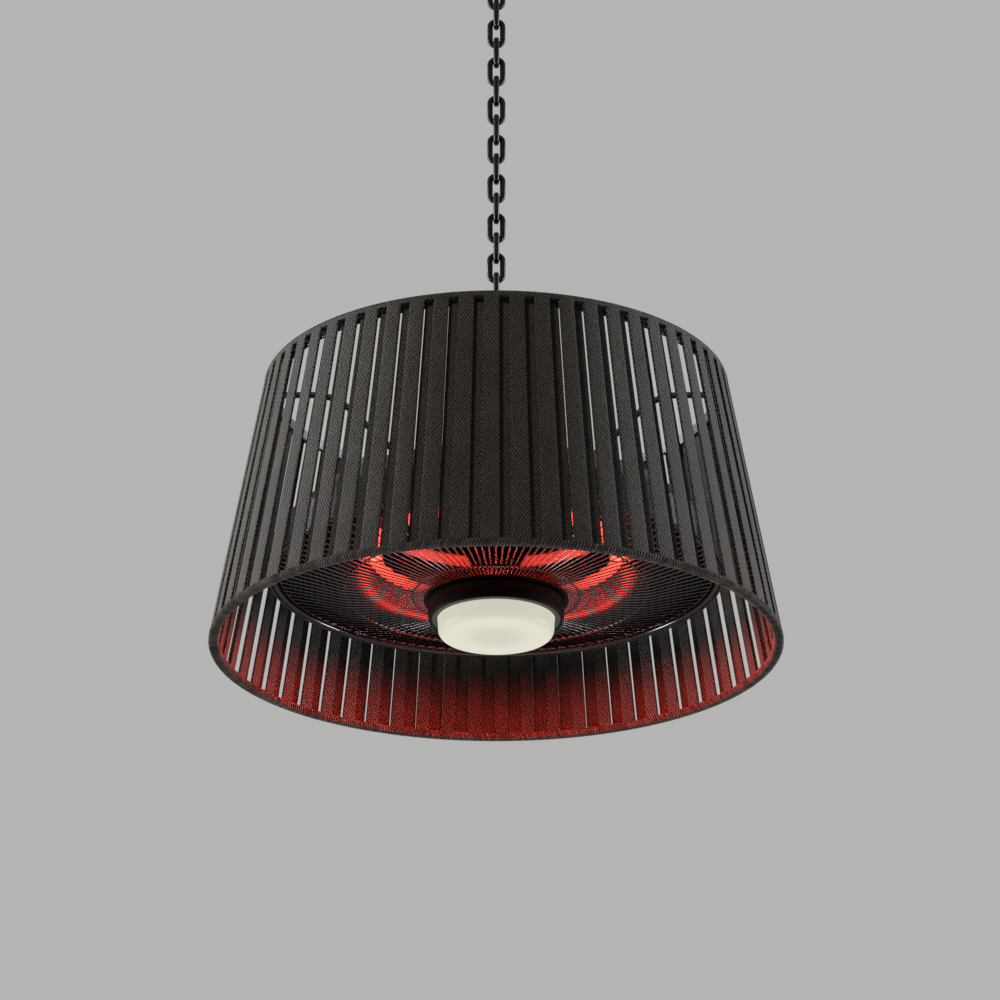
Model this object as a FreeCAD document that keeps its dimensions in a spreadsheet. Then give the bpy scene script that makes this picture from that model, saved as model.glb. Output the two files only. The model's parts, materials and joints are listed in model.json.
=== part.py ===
import FreeCAD, Part
import os
import re
import Sketcher

# Hanging patio heater: a slatted shade around an electric heater with a lamp, on a chain from the ceiling.
# Millimetres, +Z up. The ceiling is z = 0; heater heights are given above the shade's lower edge.
SIZES = (
    ("shade_foot_radius", 260),
    ("shade_head_radius", 215),
    ("shade_rise", 258),
    ("shade_wall", 9),
    ("strip_layer", 2.4),
    ("shade_foot_band", 5),
    ("shade_head_band", 6),
    ("strip_count", 61),
    ("outer_strip_share", 0.61),
    ("inner_strip_share", 0.49),
    ("strip_phase", 1.9),
    ("fit_gap", 0.3),
    ("hoop_depth", 9),
    ("hoop_metal", 2.5),
    ("arm_count", 4),
    ("arm_radius", 3),
    ("arm_bend_radius", 150),
    ("arm_foot_radius", 66),
    ("spider_boss_radius", 20),
    ("spider_boss_rise", 7),
    ("pan_rim_radius", 208),
    ("pan_rim_level", 68.5),
    ("pan_lean", 3),
    ("pan_shoulder_level", 100),
    ("pan_top_radius", 172),
    ("pan_top_level", 132),
    ("pan_metal", 1.5),
    ("pan_bevel", 6),
    ("reflector_inset", 6),
    ("reflector_lift", 1.7),
    ("reflector_flat_radius", 150),
    ("reflector_drop", 20),
    ("reflector_metal", 0.8),
    ("spacer_count", 4),
    ("spacer_ring_radius", 120),
    ("spacer_flats", 9),
    ("tube_ring_radius", 113),
    ("tube_drop", 18),
    ("tube_radius", 5),
    ("holder_half_angle", 9),
    ("holder_reach", 9),
    ("holder_below", 9),
    ("clip_reach", 9),
    ("clip_below", 8),
    ("clip_width", 4),
    ("guard_flat_radius", 66),
    ("guard_hole_radius", 40),
    ("guard_inner_radius", 78),
    ("guard_mid_radius", 141),
    ("guard_mid_level", 54),
    ("guard_edge_drop", 1),
    ("guard_band", 4),
    ("guard_bars", 120),
    ("guard_bar_width", 1.5),
    ("guard_bar_root", 8),
    ("guard_metal", 1.5),
    ("bead_gap", 0.6),
    ("bead_lift", 2),
    ("bead_radius", 2.8),
    ("post_foot_radius", 30),
    ("post_foot_rise", 3),
    ("post_radius", 16),
    ("post_wall", 3),
    ("post_neck_level", 72),
    ("post_flare_radius", 27),
    ("post_flare_level", 92),
    ("post_head_radius", 40),
    ("lamp_top_level", 46.6),
    ("lamp_top_radius", 63.2),
    ("lamp_foot_level", 28.7),
    ("lamp_foot_radius", 61.3),
    ("lamp_wall", 2.5),
    ("lamp_bevel", 1.5),
    ("bezel_recess", 2),
    ("bezel_metal", 2),
    ("bezel_hole_radius", 53.9),
    ("diffuser_radius", 53.3),
    ("diffuser_foot_radius", 52.3),
    ("diffuser_foot_level", 12.4),
    ("diffuser_bevel", 4.1),
    ("diffuser_wall", 2),
    ("diffuser_flange_radius", 57),
    ("diffuser_flange", 2),
    ("board_radius", 50),
    ("board_thick", 1.6),
    ("chip_count", 12),
    ("chip_ring_radius", 34),
    ("chip_side", 5),
    ("chip_rise", 1),
    ("cover_radius", 58),
    ("cover_rise", 32),
    ("cover_metal", 1.5),
    ("cover_bevel", 4),
    ("gland_offset", 27),
    ("gland_thread_radius", 8),
    ("gland_bore_radius", 4.5),
    ("gland_flats", 21),
    ("gland_hex_rise", 6),
    ("gland_cap_radius", 9),
    ("gland_cap_rise", 11),
    ("gland_tail", 7),
    ("inner_box_offset", 34),
    ("terminal_length", 36),
    ("terminal_depth", 18),
    ("terminal_rise", 16),
    ("terminal_ways", 3),
    ("terminal_well", 5),
    ("driver_length", 44),
    ("driver_depth", 22),
    ("driver_rise", 20),
    ("stem_radius", 6),
    ("stem_bore_radius", 4),
    ("stem_flange_radius", 20),
    ("stem_flange_rise", 3),
    ("nut_flats", 24),
    ("nut_rise", 9),
    ("eye_rise", 303),
    ("eye_inner_radius", 10),
    ("eye_wire", 6),
    ("eye_boss_radius", 9),
    ("eye_boss_rise", 15),
    ("eye_socket", 11),
    ("plate_radius", 38),
    ("plate_thick", 4),
    ("plate_edge", 1.5),
    ("screw_circle_radius", 28),
    ("screw_count", 3),
    ("screw_hole_radius", 2.75),
    ("hook_wire", 6),
    ("hook_shank", 10),
    ("hook_ring_radius", 11),
    ("hook_sweep", 280),
    ("hook_collar_radius", 7),
    ("hook_collar_rise", 4),
    ("seat_gap", 0.2),
    ("link_count", 17),
    ("link_wire", 5.5),
    ("link_bend", 6.1),
    ("link_inner", 21.2),
    ("spring_wire", 5),
    ("spring_bend", 7),
    ("spring_straight", 30),
    ("gate_wire", 4),
    ("gate_hinge_drop", 8),
    ("gate_reach", 20.6),
    ("gate_gap", 0.4),
    ("lug_gap", 2.3),
    ("lug_metal", 1.2),
    ("lug_half_width", 2.5),
    ("lug_below", 6),
    ("lug_above", 2.5),
    ("stub_gap", 1),
    ("rivet_radius", 0.8),
    ("rivet_head_radius", 1.7),
    ("rivet_head_rise", 0.7),
    ("rivet_gap", 0.1),
)

doc = FreeCAD.newDocument("patio_heater")
sheet = doc.addObject("Spreadsheet::Sheet", "sizes")
for row, (alias, value) in enumerate(SIZES, start=1):
    sheet.set("A%d" % row, alias)
    sheet.set("B%d" % row, str(value))
    sheet.setAlias("B%d" % row, alias)
doc.recompute()

nodes = []


def size(formula):
    """Formula text in which every word that names a size is looked up in the sheet."""
    aliases = {alias for alias, _ in SIZES}
    return re.sub(r"[a-z]\w*", lambda word: ("sizes." if word[0] in aliases else "") + word[0], formula)


def number(formula):
    return float(sheet.evalExpression(formula))


def new_body(label, level="0", x="0", y="0", turn="0"):
    """A body whose own zero height lies at the given formula level below or above the ceiling."""
    body = doc.addObject("PartDesign::Body", label)
    body.Label = label
    body.Placement = FreeCAD.Placement(FreeCAD.Vector(), FreeCAD.Rotation(FreeCAD.Vector(0, 0, 1), 0))
    for path, formula in (("x", x), ("y", y), ("z", level)):
        body.setExpression("Placement.Base." + path, size(formula))
    if turn != "0":
        body.Placement = FreeCAD.Placement(FreeCAD.Vector(), FreeCAD.Rotation(FreeCAD.Vector(0, 0, 1), 1))
        body.setExpression("Placement.Rotation.Angle", size(turn))
    nodes.append(body)
    return body


def origin_of(body, role):
    return next(item for item in body.Origin.OriginFeatures if item.Role == role)


def new_sketch(body, role, lift="0", turn="0"):
    """Sketch on an origin plane, lifted along its normal or turned about its vertical axis."""
    sketch = body.newObject("Sketcher::SketchObject", body.Name + "_sketch")
    sketch.AttachmentSupport = (origin_of(body, role), [""])
    sketch.MapMode = "FlatFace"
    if turn != "0":
        spin = FreeCAD.Rotation(FreeCAD.Vector(0, 1, 0), 1)
        sketch.AttachmentOffset = FreeCAD.Placement(FreeCAD.Vector(), spin)
        sketch.setExpression("AttachmentOffset.Rotation.Angle", size(turn))
    if lift != "0":
        sketch.setExpression("AttachmentOffset.Base.z", size(lift))
    return sketch


def pin_point(sketch, edge, end, x, y):
    """Hold one point of the sketch at formula distances from the origin."""
    for kind, formula, axis in (("DistanceX", size(x), -2), ("DistanceY", size(y), -1)):
        if formula == "0":
            sketch.addConstraint(Sketcher.Constraint("PointOnObject", edge, end, axis))
            continue
        name = "%s_%d_%d" % (kind, edge, end)
        index = sketch.addConstraint(Sketcher.Constraint(kind, -1, 1, edge, end, number(formula)))
        sketch.renameConstraint(index, name)
        sketch.setExpression("Constraints." + name, formula)


def draw_polygon(sketch, corners):
    points = [FreeCAD.Vector(number(size(x)), number(size(y)), 0) for x, y in corners]
    first = sketch.GeometryCount
    count = len(points)
    for i in range(count):
        sketch.addGeometry(Part.LineSegment(points[i], points[(i + 1) % count]), False)
    for i in range(count):
        sketch.addConstraint(Sketcher.Constraint("Coincident", first + i, 2, first + (i + 1) % count, 1))
    for i, (x, y) in enumerate(corners):
        pin_point(sketch, first + i, 1, x, y)


def draw_circle(sketch, x, y, radius):
    centre = FreeCAD.Vector(number(size(x)), number(size(y)), 0)
    edge = sketch.addGeometry(Part.Circle(centre, FreeCAD.Vector(0, 0, 1), number(size(radius))), False)
    pin_point(sketch, edge, 3, x, y)
    name = "Radius_%d" % edge
    index = sketch.addConstraint(Sketcher.Constraint("Radius", edge, number(size(radius))))
    sketch.renameConstraint(index, name)
    sketch.setExpression("Constraints." + name, size(radius))


def draw_wire(sketch, x, y, radius):
    """Eight-sided section that lies just inside a round wire."""
    half = 0.5 ** 0.5
    spots = ((1, 0), (half, half), (0, 1), (-half, half), (-1, 0), (-half, -half), (0, -1), (half, -half))

    def shift(start, share):
        reach = "(%s) * %s" % (radius, share) if share else "0"
        return reach if start == "0" else start if reach == "0" else start + " + " + reach

    draw_polygon(sketch, [(shift(x, u), shift(y, v)) for u, v in spots])


def bevel(corner, before, after, cut):
    """Two points that cut a corner back along the lines to its neighbours."""
    points = []
    for spot in (before, after):
        span = ["(%s - (%s))" % (end, start) for end, start in zip(spot, corner)]
        run = "sqrt(%s ^ 2 + %s ^ 2)" % tuple(span)
        shifts = ["%s * %s / %s" % (step, cut, run) for step in span]
        points.append(tuple("%s + %s" % pair for pair in zip(corner, shifts)))
    return points


def draw_hexagon(sketch, flats):
    side = flats + " / 2 / cos(30)"
    spots = ((1, 0), (0.5, 0.8660254), (-0.5, 0.8660254), (-1, 0), (-0.5, -0.8660254), (0.5, -0.8660254))
    draw_polygon(sketch, [("%s * %s" % (side, u) if u else "0", "%s * %s" % (side, v) if v else "0")
                          for u, v in spots])


def add_feature(body, kind, sketch, **sizes):
    """Sketch based feature; a text value becomes an expression, any other is set as it is."""
    feature = body.newObject("PartDesign::" + kind, body.Name + "_" + kind.lower())
    feature.Profile = sketch
    for name, value in sizes.items():
        if isinstance(value, str) and value[:1] == "=":
            feature.setExpression(name, size(value[1:]))
        else:
            setattr(feature, name, value)
    doc.recompute()
    return feature


def turn_profile(body, corners, kind="Revolution", angle=None, turn="0"):
    """Revolve a closed profile of (radius, height) corners about the vertical axis."""
    sketch = new_sketch(body, "XZ_Plane", turn=turn)
    draw_polygon(sketch, corners)
    sizes = {"ReferenceAxis": (sketch, ["V_Axis"])}
    if angle:
        sizes.update(Angle="=" + angle, Midplane=True)
    else:
        sizes.update(Angle=360)
    return add_feature(body, kind, sketch, **sizes)


def repeat_around(body, feature, count, axis="Z_Axis"):
    pattern = body.newObject("PartDesign::PolarPattern", body.Name + "_pattern")
    pattern.Originals = [feature]
    pattern.Axis = (origin_of(body, axis), [""])
    pattern.Angle = 360
    pattern.setExpression("Occurrences", size(count))
    body.Tip = pattern
    doc.recompute()
    return pattern


def sweep_along(body, profile, spots):
    """Carry a drawn section along straight runs in the XZ plane, mitred at the corners."""
    path = new_sketch(body, "XZ_Plane")
    points = [FreeCAD.Vector(number(size(x)), number(size(y)), 0) for x, y in spots]
    runs = len(points) - 1
    for i in range(runs):
        path.addGeometry(Part.LineSegment(points[i], points[i + 1]), False)
    for i in range(runs - 1):
        path.addConstraint(Sketcher.Constraint("Coincident", i, 2, i + 1, 1))
    for i, (x, y) in enumerate(spots[:-1]):
        pin_point(path, i, 1, x, y)
    pin_point(path, runs - 1, 2, *spots[-1])
    doc.recompute()
    spine = (path, ["Edge%d" % (i + 1) for i in range(runs)])
    return add_feature(body, "AdditivePipe", profile, Spine=spine, Transition="Right corner")


# Depths below the ceiling, from the hook down to the eye that carries the heater.
HOOK_LOW = "(plate_thick + hook_shank + 2 * hook_ring_radius)"
LINK_TOP = "(" + HOOK_LOW + " - hook_wire / 2 - seat_gap + link_inner / 2)"
LINK_STEP = "(link_inner - seat_gap)"
LINK_LAST = "(" + LINK_TOP + " + (link_count - 1) * " + LINK_STEP + ")"
SPRING_HALF = "(spring_straight / 2 + spring_bend - spring_wire / 2)"
SPRING_MID = "(" + LINK_LAST + " + link_inner / 2 - seat_gap + " + SPRING_HALF + ")"
EYE_MID = "(" + SPRING_MID + " + " + SPRING_HALF + " - seat_gap + eye_inner_radius)"
HEATER = "0 - (" + EYE_MID + " + eye_rise)"

# Places inside the heater that follow the pan which carries them.
PAN_SHOULDER = "(pan_rim_radius - pan_lean)"
BEAD_RING = "(pan_rim_radius - pan_metal - bead_gap - bead_radius)"
BEAD_LEVEL = "(pan_rim_level + bead_lift)"
GUARD_EDGE = "(" + BEAD_RING + " - bead_radius - fit_gap)"
GUARD_EDGE_LEVEL = "(" + BEAD_LEVEL + " - guard_edge_drop)"
REFLECTOR_EDGE = "(pan_rim_radius - reflector_inset)"
REFLECTOR_EDGE_LEVEL = "(" + BEAD_LEVEL + " + bead_radius + reflector_lift)"
REFLECTOR_LEVEL = "(pan_top_level - reflector_drop)"
TUBE_LEVEL = "(" + REFLECTOR_LEVEL + " - tube_drop)"
ARM_LEVEL = "(shade_rise - hoop_metal / 2 - hoop_depth / 2)"


def wall_radius(level):
    """Outer radius of the shade at a height above its lower edge."""
    slope = "(shade_foot_radius - shade_head_radius) / shade_rise"
    return "(shade_foot_radius - (%s) * %s)" % (level, slope)


# Ceiling plate with three screw holes, and the hook that is fixed in its middle.
def make_ceiling_plate():
    body = new_body("ceiling_plate")
    bore = "hook_wire / 2 + fit_gap"
    turn_profile(body, (
        (bore, "0"),
        ("plate_radius", "0"),
        ("plate_radius", "plate_edge - plate_thick"),
        ("plate_radius - plate_edge", "0 - plate_thick"),
        (bore, "0 - plate_thick"),
    ))
    sketch = new_sketch(body, "XY_Plane")
    draw_circle(sketch, "screw_circle_radius", "0", "screw_hole_radius")
    hole = add_feature(body, "Pocket", sketch, Length="=plate_thick")
    repeat_around(body, hole, "screw_count")


def make_ceiling_hook():
    body = new_body("ceiling_hook")
    shank_low = "0 - plate_thick - hook_shank"
    collar_low = "0 - plate_thick - hook_collar_rise"
    turn_profile(body, (
        ("0", "0 - plate_edge / 2"),
        ("hook_wire / 2", "0 - plate_edge / 2"),
        ("hook_wire / 2", "0 - plate_thick"),
        ("hook_collar_radius", "0 - plate_thick"),
        ("hook_collar_radius", collar_low),
        ("hook_wire / 2", collar_low),
        ("hook_wire / 2", shank_low),
        ("0", shank_low),
    ))
    ring = new_sketch(body, "XY_Plane", lift="0 - plate_thick - hook_shank - hook_ring_radius")
    draw_wire(ring, "hook_ring_radius", "0", "hook_wire / 2")
    add_feature(body, "Revolution", ring, ReferenceAxis=(ring, ["V_Axis"]), Angle="=hook_sweep")


# Welded chain: every other link is turned a quarter, and each hangs in the one above.
def make_link(place):
    depth = LINK_TOP + " + %d * %s" % (place, LINK_STEP)
    body = new_body("chain_link_%02d" % (place + 1), "0 - (" + depth + ")", turn="0" if place % 2 else "90")
    crown = "(link_inner + link_wire) / 2"
    slant = "link_bend * tan(22.5)"
    shoulder = crown + " - link_bend + " + slant
    section = new_sketch(body, "XY_Plane")
    draw_wire(section, "link_bend", "0", "link_wire / 2")
    upper_half = sweep_along(body, section, (
        ("link_bend", "0"),
        ("link_bend", shoulder),
        (slant, crown),
        ("0 - " + slant, crown),
        ("0 - link_bend", shoulder),
        ("0 - link_bend", "0"),
    ))
    repeat_around(body, upper_half, "2", "Y_Axis")


# Spring hook between chain and heater, with a gate that turns on a rivet between two lugs.
def make_spring_hook():
    body = new_body("spring_hook_body", "0 - " + SPRING_MID)
    nose_low = "gate_reach - gate_hinge_drop + gate_gap"
    stub_top = "0 - gate_hinge_drop - gate_wire / 2 - stub_gap"
    crown = "spring_straight / 2 + spring_bend"
    slant = "spring_bend * tan(22.5)"
    shoulder = "spring_straight / 2 + " + slant
    section = new_sketch(body, "XY_Plane", lift=nose_low)
    draw_wire(section, "spring_bend", "0", "spring_wire / 2")
    sweep_along(body, section, (
        ("spring_bend", nose_low),
        ("spring_bend", shoulder),
        (slant, crown),
        ("0 - " + slant, crown),
        ("0 - spring_bend", shoulder),
        ("0 - spring_bend", "0 - (" + shoulder + ")"),
        ("0 - " + slant, "0 - (" + crown + ")"),
        (slant, "0 - (" + crown + ")"),
        ("spring_bend", "0 - (" + shoulder + ")"),
        ("spring_bend", stub_top),
    ))
    for side in ("lug_gap + lug_metal", "0 - lug_gap"):
        lug = new_sketch(body, "XZ_Plane", lift="0 - (" + side + ")")
        low = "0 - gate_hinge_drop - lug_below"
        high = "lug_above - gate_hinge_drop"
        draw_polygon(lug, (
            ("spring_bend - lug_half_width", low),
            ("spring_bend + lug_half_width", low),
            ("spring_bend + lug_half_width", high),
            ("spring_bend - lug_half_width", high),
        ))
        draw_circle(lug, "spring_bend", "0 - gate_hinge_drop", "rivet_radius + rivet_gap")
        add_feature(body, "Pad", lug, Length="=lug_metal")


def make_gate():
    body = new_body("spring_hook_gate", "0 - " + SPRING_MID + " - gate_hinge_drop", x="spring_bend")
    rod = new_sketch(body, "XY_Plane")
    draw_wire(rod, "0", "0", "gate_wire / 2")
    add_feature(body, "Pad", rod, Length="=gate_reach")
    knuckle = new_sketch(body, "XZ_Plane")
    draw_wire(knuckle, "0", "0", "gate_wire / 2")
    add_feature(body, "Pad", knuckle, Length="=gate_wire", Midplane=True)
    hole = new_sketch(body, "XZ_Plane")
    draw_circle(hole, "0", "0", "rivet_radius + fit_gap")
    add_feature(body, "Pocket", hole, Length="=gate_wire * 2", Midplane=True)


def make_rivet():
    body = new_body("gate_rivet", "0 - " + SPRING_MID + " - gate_hinge_drop", x="spring_bend")
    pin = new_sketch(body, "XZ_Plane")
    draw_wire(pin, "0", "0", "rivet_radius")
    add_feature(body, "Pad", pin, Length="=2 * (lug_gap + lug_metal)", Midplane=True)
    for side in ("lug_gap + lug_metal", "0 - lug_gap - lug_metal - rivet_head_rise"):
        head = new_sketch(body, "XZ_Plane", lift=side)
        draw_wire(head, "0", "0", "rivet_head_radius")
        add_feature(body, "Pad", head, Length="=rivet_head_rise")


# Eye, stem and nut that carry the heater below the spring hook.
def make_eye():
    body = new_body("suspension_eye", HEATER)
    reach = "eye_inner_radius + eye_wire / 2"
    boss_top = "eye_rise - eye_inner_radius - eye_wire / 3"
    boss_low = "eye_rise - eye_inner_radius - eye_wire / 2 - eye_boss_rise"
    turn_profile(body, (
        ("0", boss_top),
        ("eye_boss_radius", boss_top),
        ("eye_boss_radius", boss_low),
        ("stem_radius + fit_gap", boss_low),
        ("stem_radius + fit_gap", boss_low + " + eye_socket"),
        ("0", boss_low + " + eye_socket"),
    ))
    ring = new_sketch(body, "XY_Plane", lift="eye_rise")
    draw_wire(ring, "0", reach, "eye_wire / 2")
    add_feature(body, "Revolution", ring, ReferenceAxis=(ring, ["H_Axis"]), Angle=360)


def make_stem():
    body = new_body("suspension_stem", HEATER)
    top = "eye_rise - eye_inner_radius - eye_wire / 2 - eye_boss_rise + eye_socket"
    flange = "pan_top_level + stem_flange_rise"
    turn_profile(body, (
        ("stem_bore_radius", "pan_top_level"),
        ("stem_flange_radius", "pan_top_level"),
        ("stem_flange_radius", flange),
        ("stem_radius", flange),
        ("stem_radius", top),
        ("stem_bore_radius", top),
    ))


def make_stem_nut():
    body = new_body("stem_nut", HEATER)
    sketch = new_sketch(body, "XY_Plane", lift="pan_top_level + cover_rise + spider_boss_rise")
    draw_hexagon(sketch, "nut_flats")
    draw_circle(sketch, "0", "0", "stem_radius + fit_gap")
    add_feature(body, "Pad", sketch, Length="=nut_rise")


# Housing pan and the terminal cover on it, with the cable gland and what the cover hides.
def make_pan():
    body = new_body("housing_pan", HEATER)

    def skin(inset):
        return (
            ("pan_rim_radius - " + inset, "pan_rim_level"),
            (PAN_SHOULDER + " - " + inset, "pan_shoulder_level - " + inset + " / 2"),
            ("pan_top_radius - " + inset + " / 2", "pan_top_level - " + inset),
            ("0", "pan_top_level - " + inset),
        )

    sides = []
    for rim, shoulder, top, middle in (skin("0"), skin("pan_metal")):
        cuts = bevel(shoulder, rim, top, "pan_bevel") + bevel(top, shoulder, middle, "pan_bevel")
        sides.append([rim, *cuts, middle])
    outside, inside = sides
    turn_profile(body, outside + inside[::-1])


def make_terminal_cover():
    body = new_body("terminal_cover", HEATER)
    top = "pan_top_level + cover_rise"
    sides = []
    for inset in ("0", "cover_metal"):
        foot = ("cover_radius - " + inset, "pan_top_level")
        corner = ("cover_radius - " + inset, top + " - " + inset)
        bore = ("stem_radius + fit_gap", top + " - " + inset)
        sides.append([foot, *bevel(corner, foot, bore, "cover_bevel"), bore])
    outside, inside = sides
    turn_profile(body, outside + inside[::-1])
    hole = new_sketch(body, "XY_Plane", lift=top)
    draw_circle(hole, "gland_offset", "gland_offset", "gland_thread_radius + fit_gap")
    add_feature(body, "Pocket", hole, Length="=2 * cover_metal")


def make_gland():
    body = new_body("power_gland", HEATER + " + pan_top_level + cover_rise", "gland_offset", "gland_offset")
    sketch = new_sketch(body, "XY_Plane")
    draw_hexagon(sketch, "gland_flats")
    add_feature(body, "Pad", sketch, Length="=gland_hex_rise")
    tail = new_sketch(body, "XY_Plane", lift="0 - gland_tail")
    draw_circle(tail, "0", "0", "gland_thread_radius")
    add_feature(body, "Pad", tail, Length="=gland_tail")
    cap = "gland_hex_rise + gland_cap_rise"
    turn_profile(body, (
        ("0", "gland_hex_rise"),
        ("gland_cap_radius", "gland_hex_rise"),
        ("gland_cap_radius", cap + " - gland_cap_radius / 2"),
        ("gland_cap_radius * 0.7", cap),
        ("0", cap),
    ))
    bore = new_sketch(body, "XY_Plane", lift=cap)
    draw_circle(bore, "0", "0", "gland_bore_radius")
    add_feature(body, "Pocket", bore, Length="=" + cap + " + gland_tail")


def make_inner_box(label, place, length, depth, rise):
    body = new_body(label, HEATER + " + pan_top_level", y=place)
    sketch = new_sketch(body, "XY_Plane")
    half = length + " / 2"
    draw_polygon(sketch, (
        ("0 - " + half, "0 - " + depth + " / 2"),
        (half, "0 - " + depth + " / 2"),
        (half, depth + " / 2"),
        ("0 - " + half, depth + " / 2"),
    ))
    add_feature(body, "Pad", sketch, Length="=" + rise)
    return body


def make_terminal_block():
    body = make_inner_box("terminal_block", "0 - inner_box_offset",
                          "terminal_length", "terminal_depth", "terminal_rise")
    wells = new_sketch(body, "XY_Plane", lift="terminal_rise")
    ways = int(sheet.terminal_ways)
    for way in range(ways):
        middle = "terminal_length * %s" % ((way + 0.5) / ways - 0.5)
        draw_polygon(wells, [(middle + " + terminal_well * %s" % u, "terminal_well * %s" % v)
                             for u, v in ((-0.5, -0.5), (0.5, -0.5), (0.5, 0.5), (-0.5, 0.5))])
    add_feature(body, "Pocket", wells, Length="=terminal_rise / 2")


# Reflector under the pan on spacers, and the two half-ring tubes with their holders and clips.
def make_reflector():
    body = new_body("reflector", HEATER)
    turn_profile(body, (
        ("0", REFLECTOR_LEVEL),
        ("reflector_flat_radius", REFLECTOR_LEVEL),
        (REFLECTOR_EDGE, REFLECTOR_EDGE_LEVEL),
        (REFLECTOR_EDGE + " + reflector_metal", REFLECTOR_EDGE_LEVEL),
        ("reflector_flat_radius + reflector_metal", REFLECTOR_LEVEL + " + reflector_metal"),
        ("0", REFLECTOR_LEVEL + " + reflector_metal"),
    ))


def make_spacer(place):
    turn = "(%d + 0.5) * 360 / spacer_count" % place
    body = new_body("reflector_spacer_%d" % (place + 1), HEATER,
                    "spacer_ring_radius * cos(" + turn + ")", "spacer_ring_radius * sin(" + turn + ")")
    foot = REFLECTOR_LEVEL + " + reflector_metal"
    sketch = new_sketch(body, "XY_Plane", lift=foot)
    draw_hexagon(sketch, "spacer_flats")
    add_feature(body, "Pad", sketch, Length="=pan_top_level - pan_metal - (" + foot + ")")


def make_tube(label, turn):
    body = new_body(label, HEATER)
    sketch = new_sketch(body, "XZ_Plane", turn=turn)
    draw_wire(sketch, "tube_ring_radius", TUBE_LEVEL, "tube_radius")
    end = "holder_half_angle + fit_gap / tube_ring_radius * 180 / 3.14159265"
    add_feature(body, "Revolution", sketch, ReferenceAxis=(sketch, ["V_Axis"]),
                Angle="=180 - 2 * (" + end + ")", Midplane=True)


def make_tube_holder(label, turn):
    body = new_body(label, HEATER)
    low = TUBE_LEVEL + " - holder_below"
    turn_profile(body, (
        ("tube_ring_radius - holder_reach", low),
        ("tube_ring_radius + holder_reach", low),
        ("tube_ring_radius + holder_reach", REFLECTOR_LEVEL),
        ("tube_ring_radius - holder_reach", REFLECTOR_LEVEL),
    ), angle="2 * holder_half_angle", turn=turn)


def make_tube_clip(label, turn):
    body = new_body(label, HEATER)
    sketch = new_sketch(body, "XZ_Plane", turn=turn)
    low = TUBE_LEVEL + " - clip_below"
    draw_polygon(sketch, (
        ("tube_ring_radius - clip_reach", low),
        ("tube_ring_radius + clip_reach", low),
        ("tube_ring_radius + clip_reach", REFLECTOR_LEVEL),
        ("tube_ring_radius - clip_reach", REFLECTOR_LEVEL),
    ))
    draw_circle(sketch, "tube_ring_radius", TUBE_LEVEL, "tube_radius + fit_gap")
    add_feature(body, "Pad", sketch, Length="=clip_width", Midplane=True)


# Guard: bent bars on a hub, three hoops on top of the bars, and a bead that closes the edge.
GUARD_HUB_TOP = "(lamp_top_level + guard_metal)"
GUARD_ROOT_END = "(guard_flat_radius - guard_metal)"


def bar_level(radius, start, start_level, end, end_level):
    """Height of the bars' underside on the straight run between two places."""
    slope = "(%s - %s) / (%s - %s)" % (end_level, start_level, end, start)
    return "(%s + (%s - %s) * %s)" % (start_level, radius, start, slope)


def inner_level(radius):
    return bar_level(radius, GUARD_ROOT_END, GUARD_HUB_TOP, "guard_mid_radius", "guard_mid_level")


def outer_level(radius):
    return bar_level(radius, "guard_mid_radius", "guard_mid_level", GUARD_EDGE, GUARD_EDGE_LEVEL)


def make_guard():
    body = new_body("guard", HEATER)
    turn_profile(body, (
        ("guard_hole_radius", "lamp_top_level"),
        ("guard_flat_radius", "lamp_top_level"),
        ("guard_flat_radius", GUARD_HUB_TOP),
        ("guard_hole_radius", GUARD_HUB_TOP),
    ))
    tip = GUARD_EDGE + " - guard_band / 4"
    under = (
        (GUARD_ROOT_END + " - guard_bar_root", GUARD_HUB_TOP),
        (GUARD_ROOT_END, GUARD_HUB_TOP),
        ("guard_mid_radius", "guard_mid_level"),
        (tip, outer_level(tip)),
    )
    over = tuple((radius, level + " + guard_metal") for radius, level in reversed(under))
    bar = new_sketch(body, "XZ_Plane")
    draw_polygon(bar, under + over)
    bar_pad = add_feature(body, "Pad", bar, Length="=guard_bar_width", Midplane=True)
    repeat_around(body, bar_pad, "guard_bars")


def make_guard_hoop(label, end, level):
    """Flat ring that lies along the bars' upper edges, inwards from a radius."""
    body = new_body(label, HEATER)
    start = "(" + end + " - guard_band)"
    lift = " + guard_metal + fit_gap"
    turn_profile(body, (
        (start, level(start) + lift),
        (end, level(end) + lift),
        (end, level(end) + lift + " + guard_metal"),
        (start, level(start) + lift + " + guard_metal"),
    ))


def make_guard_bead():
    body = new_body("guard_bead", HEATER)
    flat = "bead_radius * 0.41421"
    spots = (
        ("bead_radius", flat),
        (flat, "bead_radius"),
        ("0 - " + flat, "bead_radius"),
        ("0 - bead_radius", flat),
    )
    upper = [(BEAD_RING + " + " + u, BEAD_LEVEL + " + " + v) for u, v in spots]
    lower = [(BEAD_RING + " + " + u, BEAD_LEVEL + " - " + v) for u, v in reversed(spots)]
    turn_profile(body, upper + lower)


# Lamp below the guard on a flared post: housing, bezel, board and diffuser.
def make_lamp_post():
    body = new_body("lamp_post", HEATER)
    foot = "lamp_top_level + guard_metal"
    bore = "post_radius - post_wall"
    turn_profile(body, (
        (bore, foot),
        ("post_foot_radius + guard_hole_radius / 2", foot),
        ("post_foot_radius", foot + " + post_foot_rise"),
        ("post_radius", foot + " + 2 * post_foot_rise"),
        ("post_radius", "post_neck_level"),
        ("post_flare_radius", "post_flare_level"),
        ("post_head_radius", REFLECTOR_LEVEL),
        (bore, REFLECTOR_LEVEL),
    ))


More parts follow.
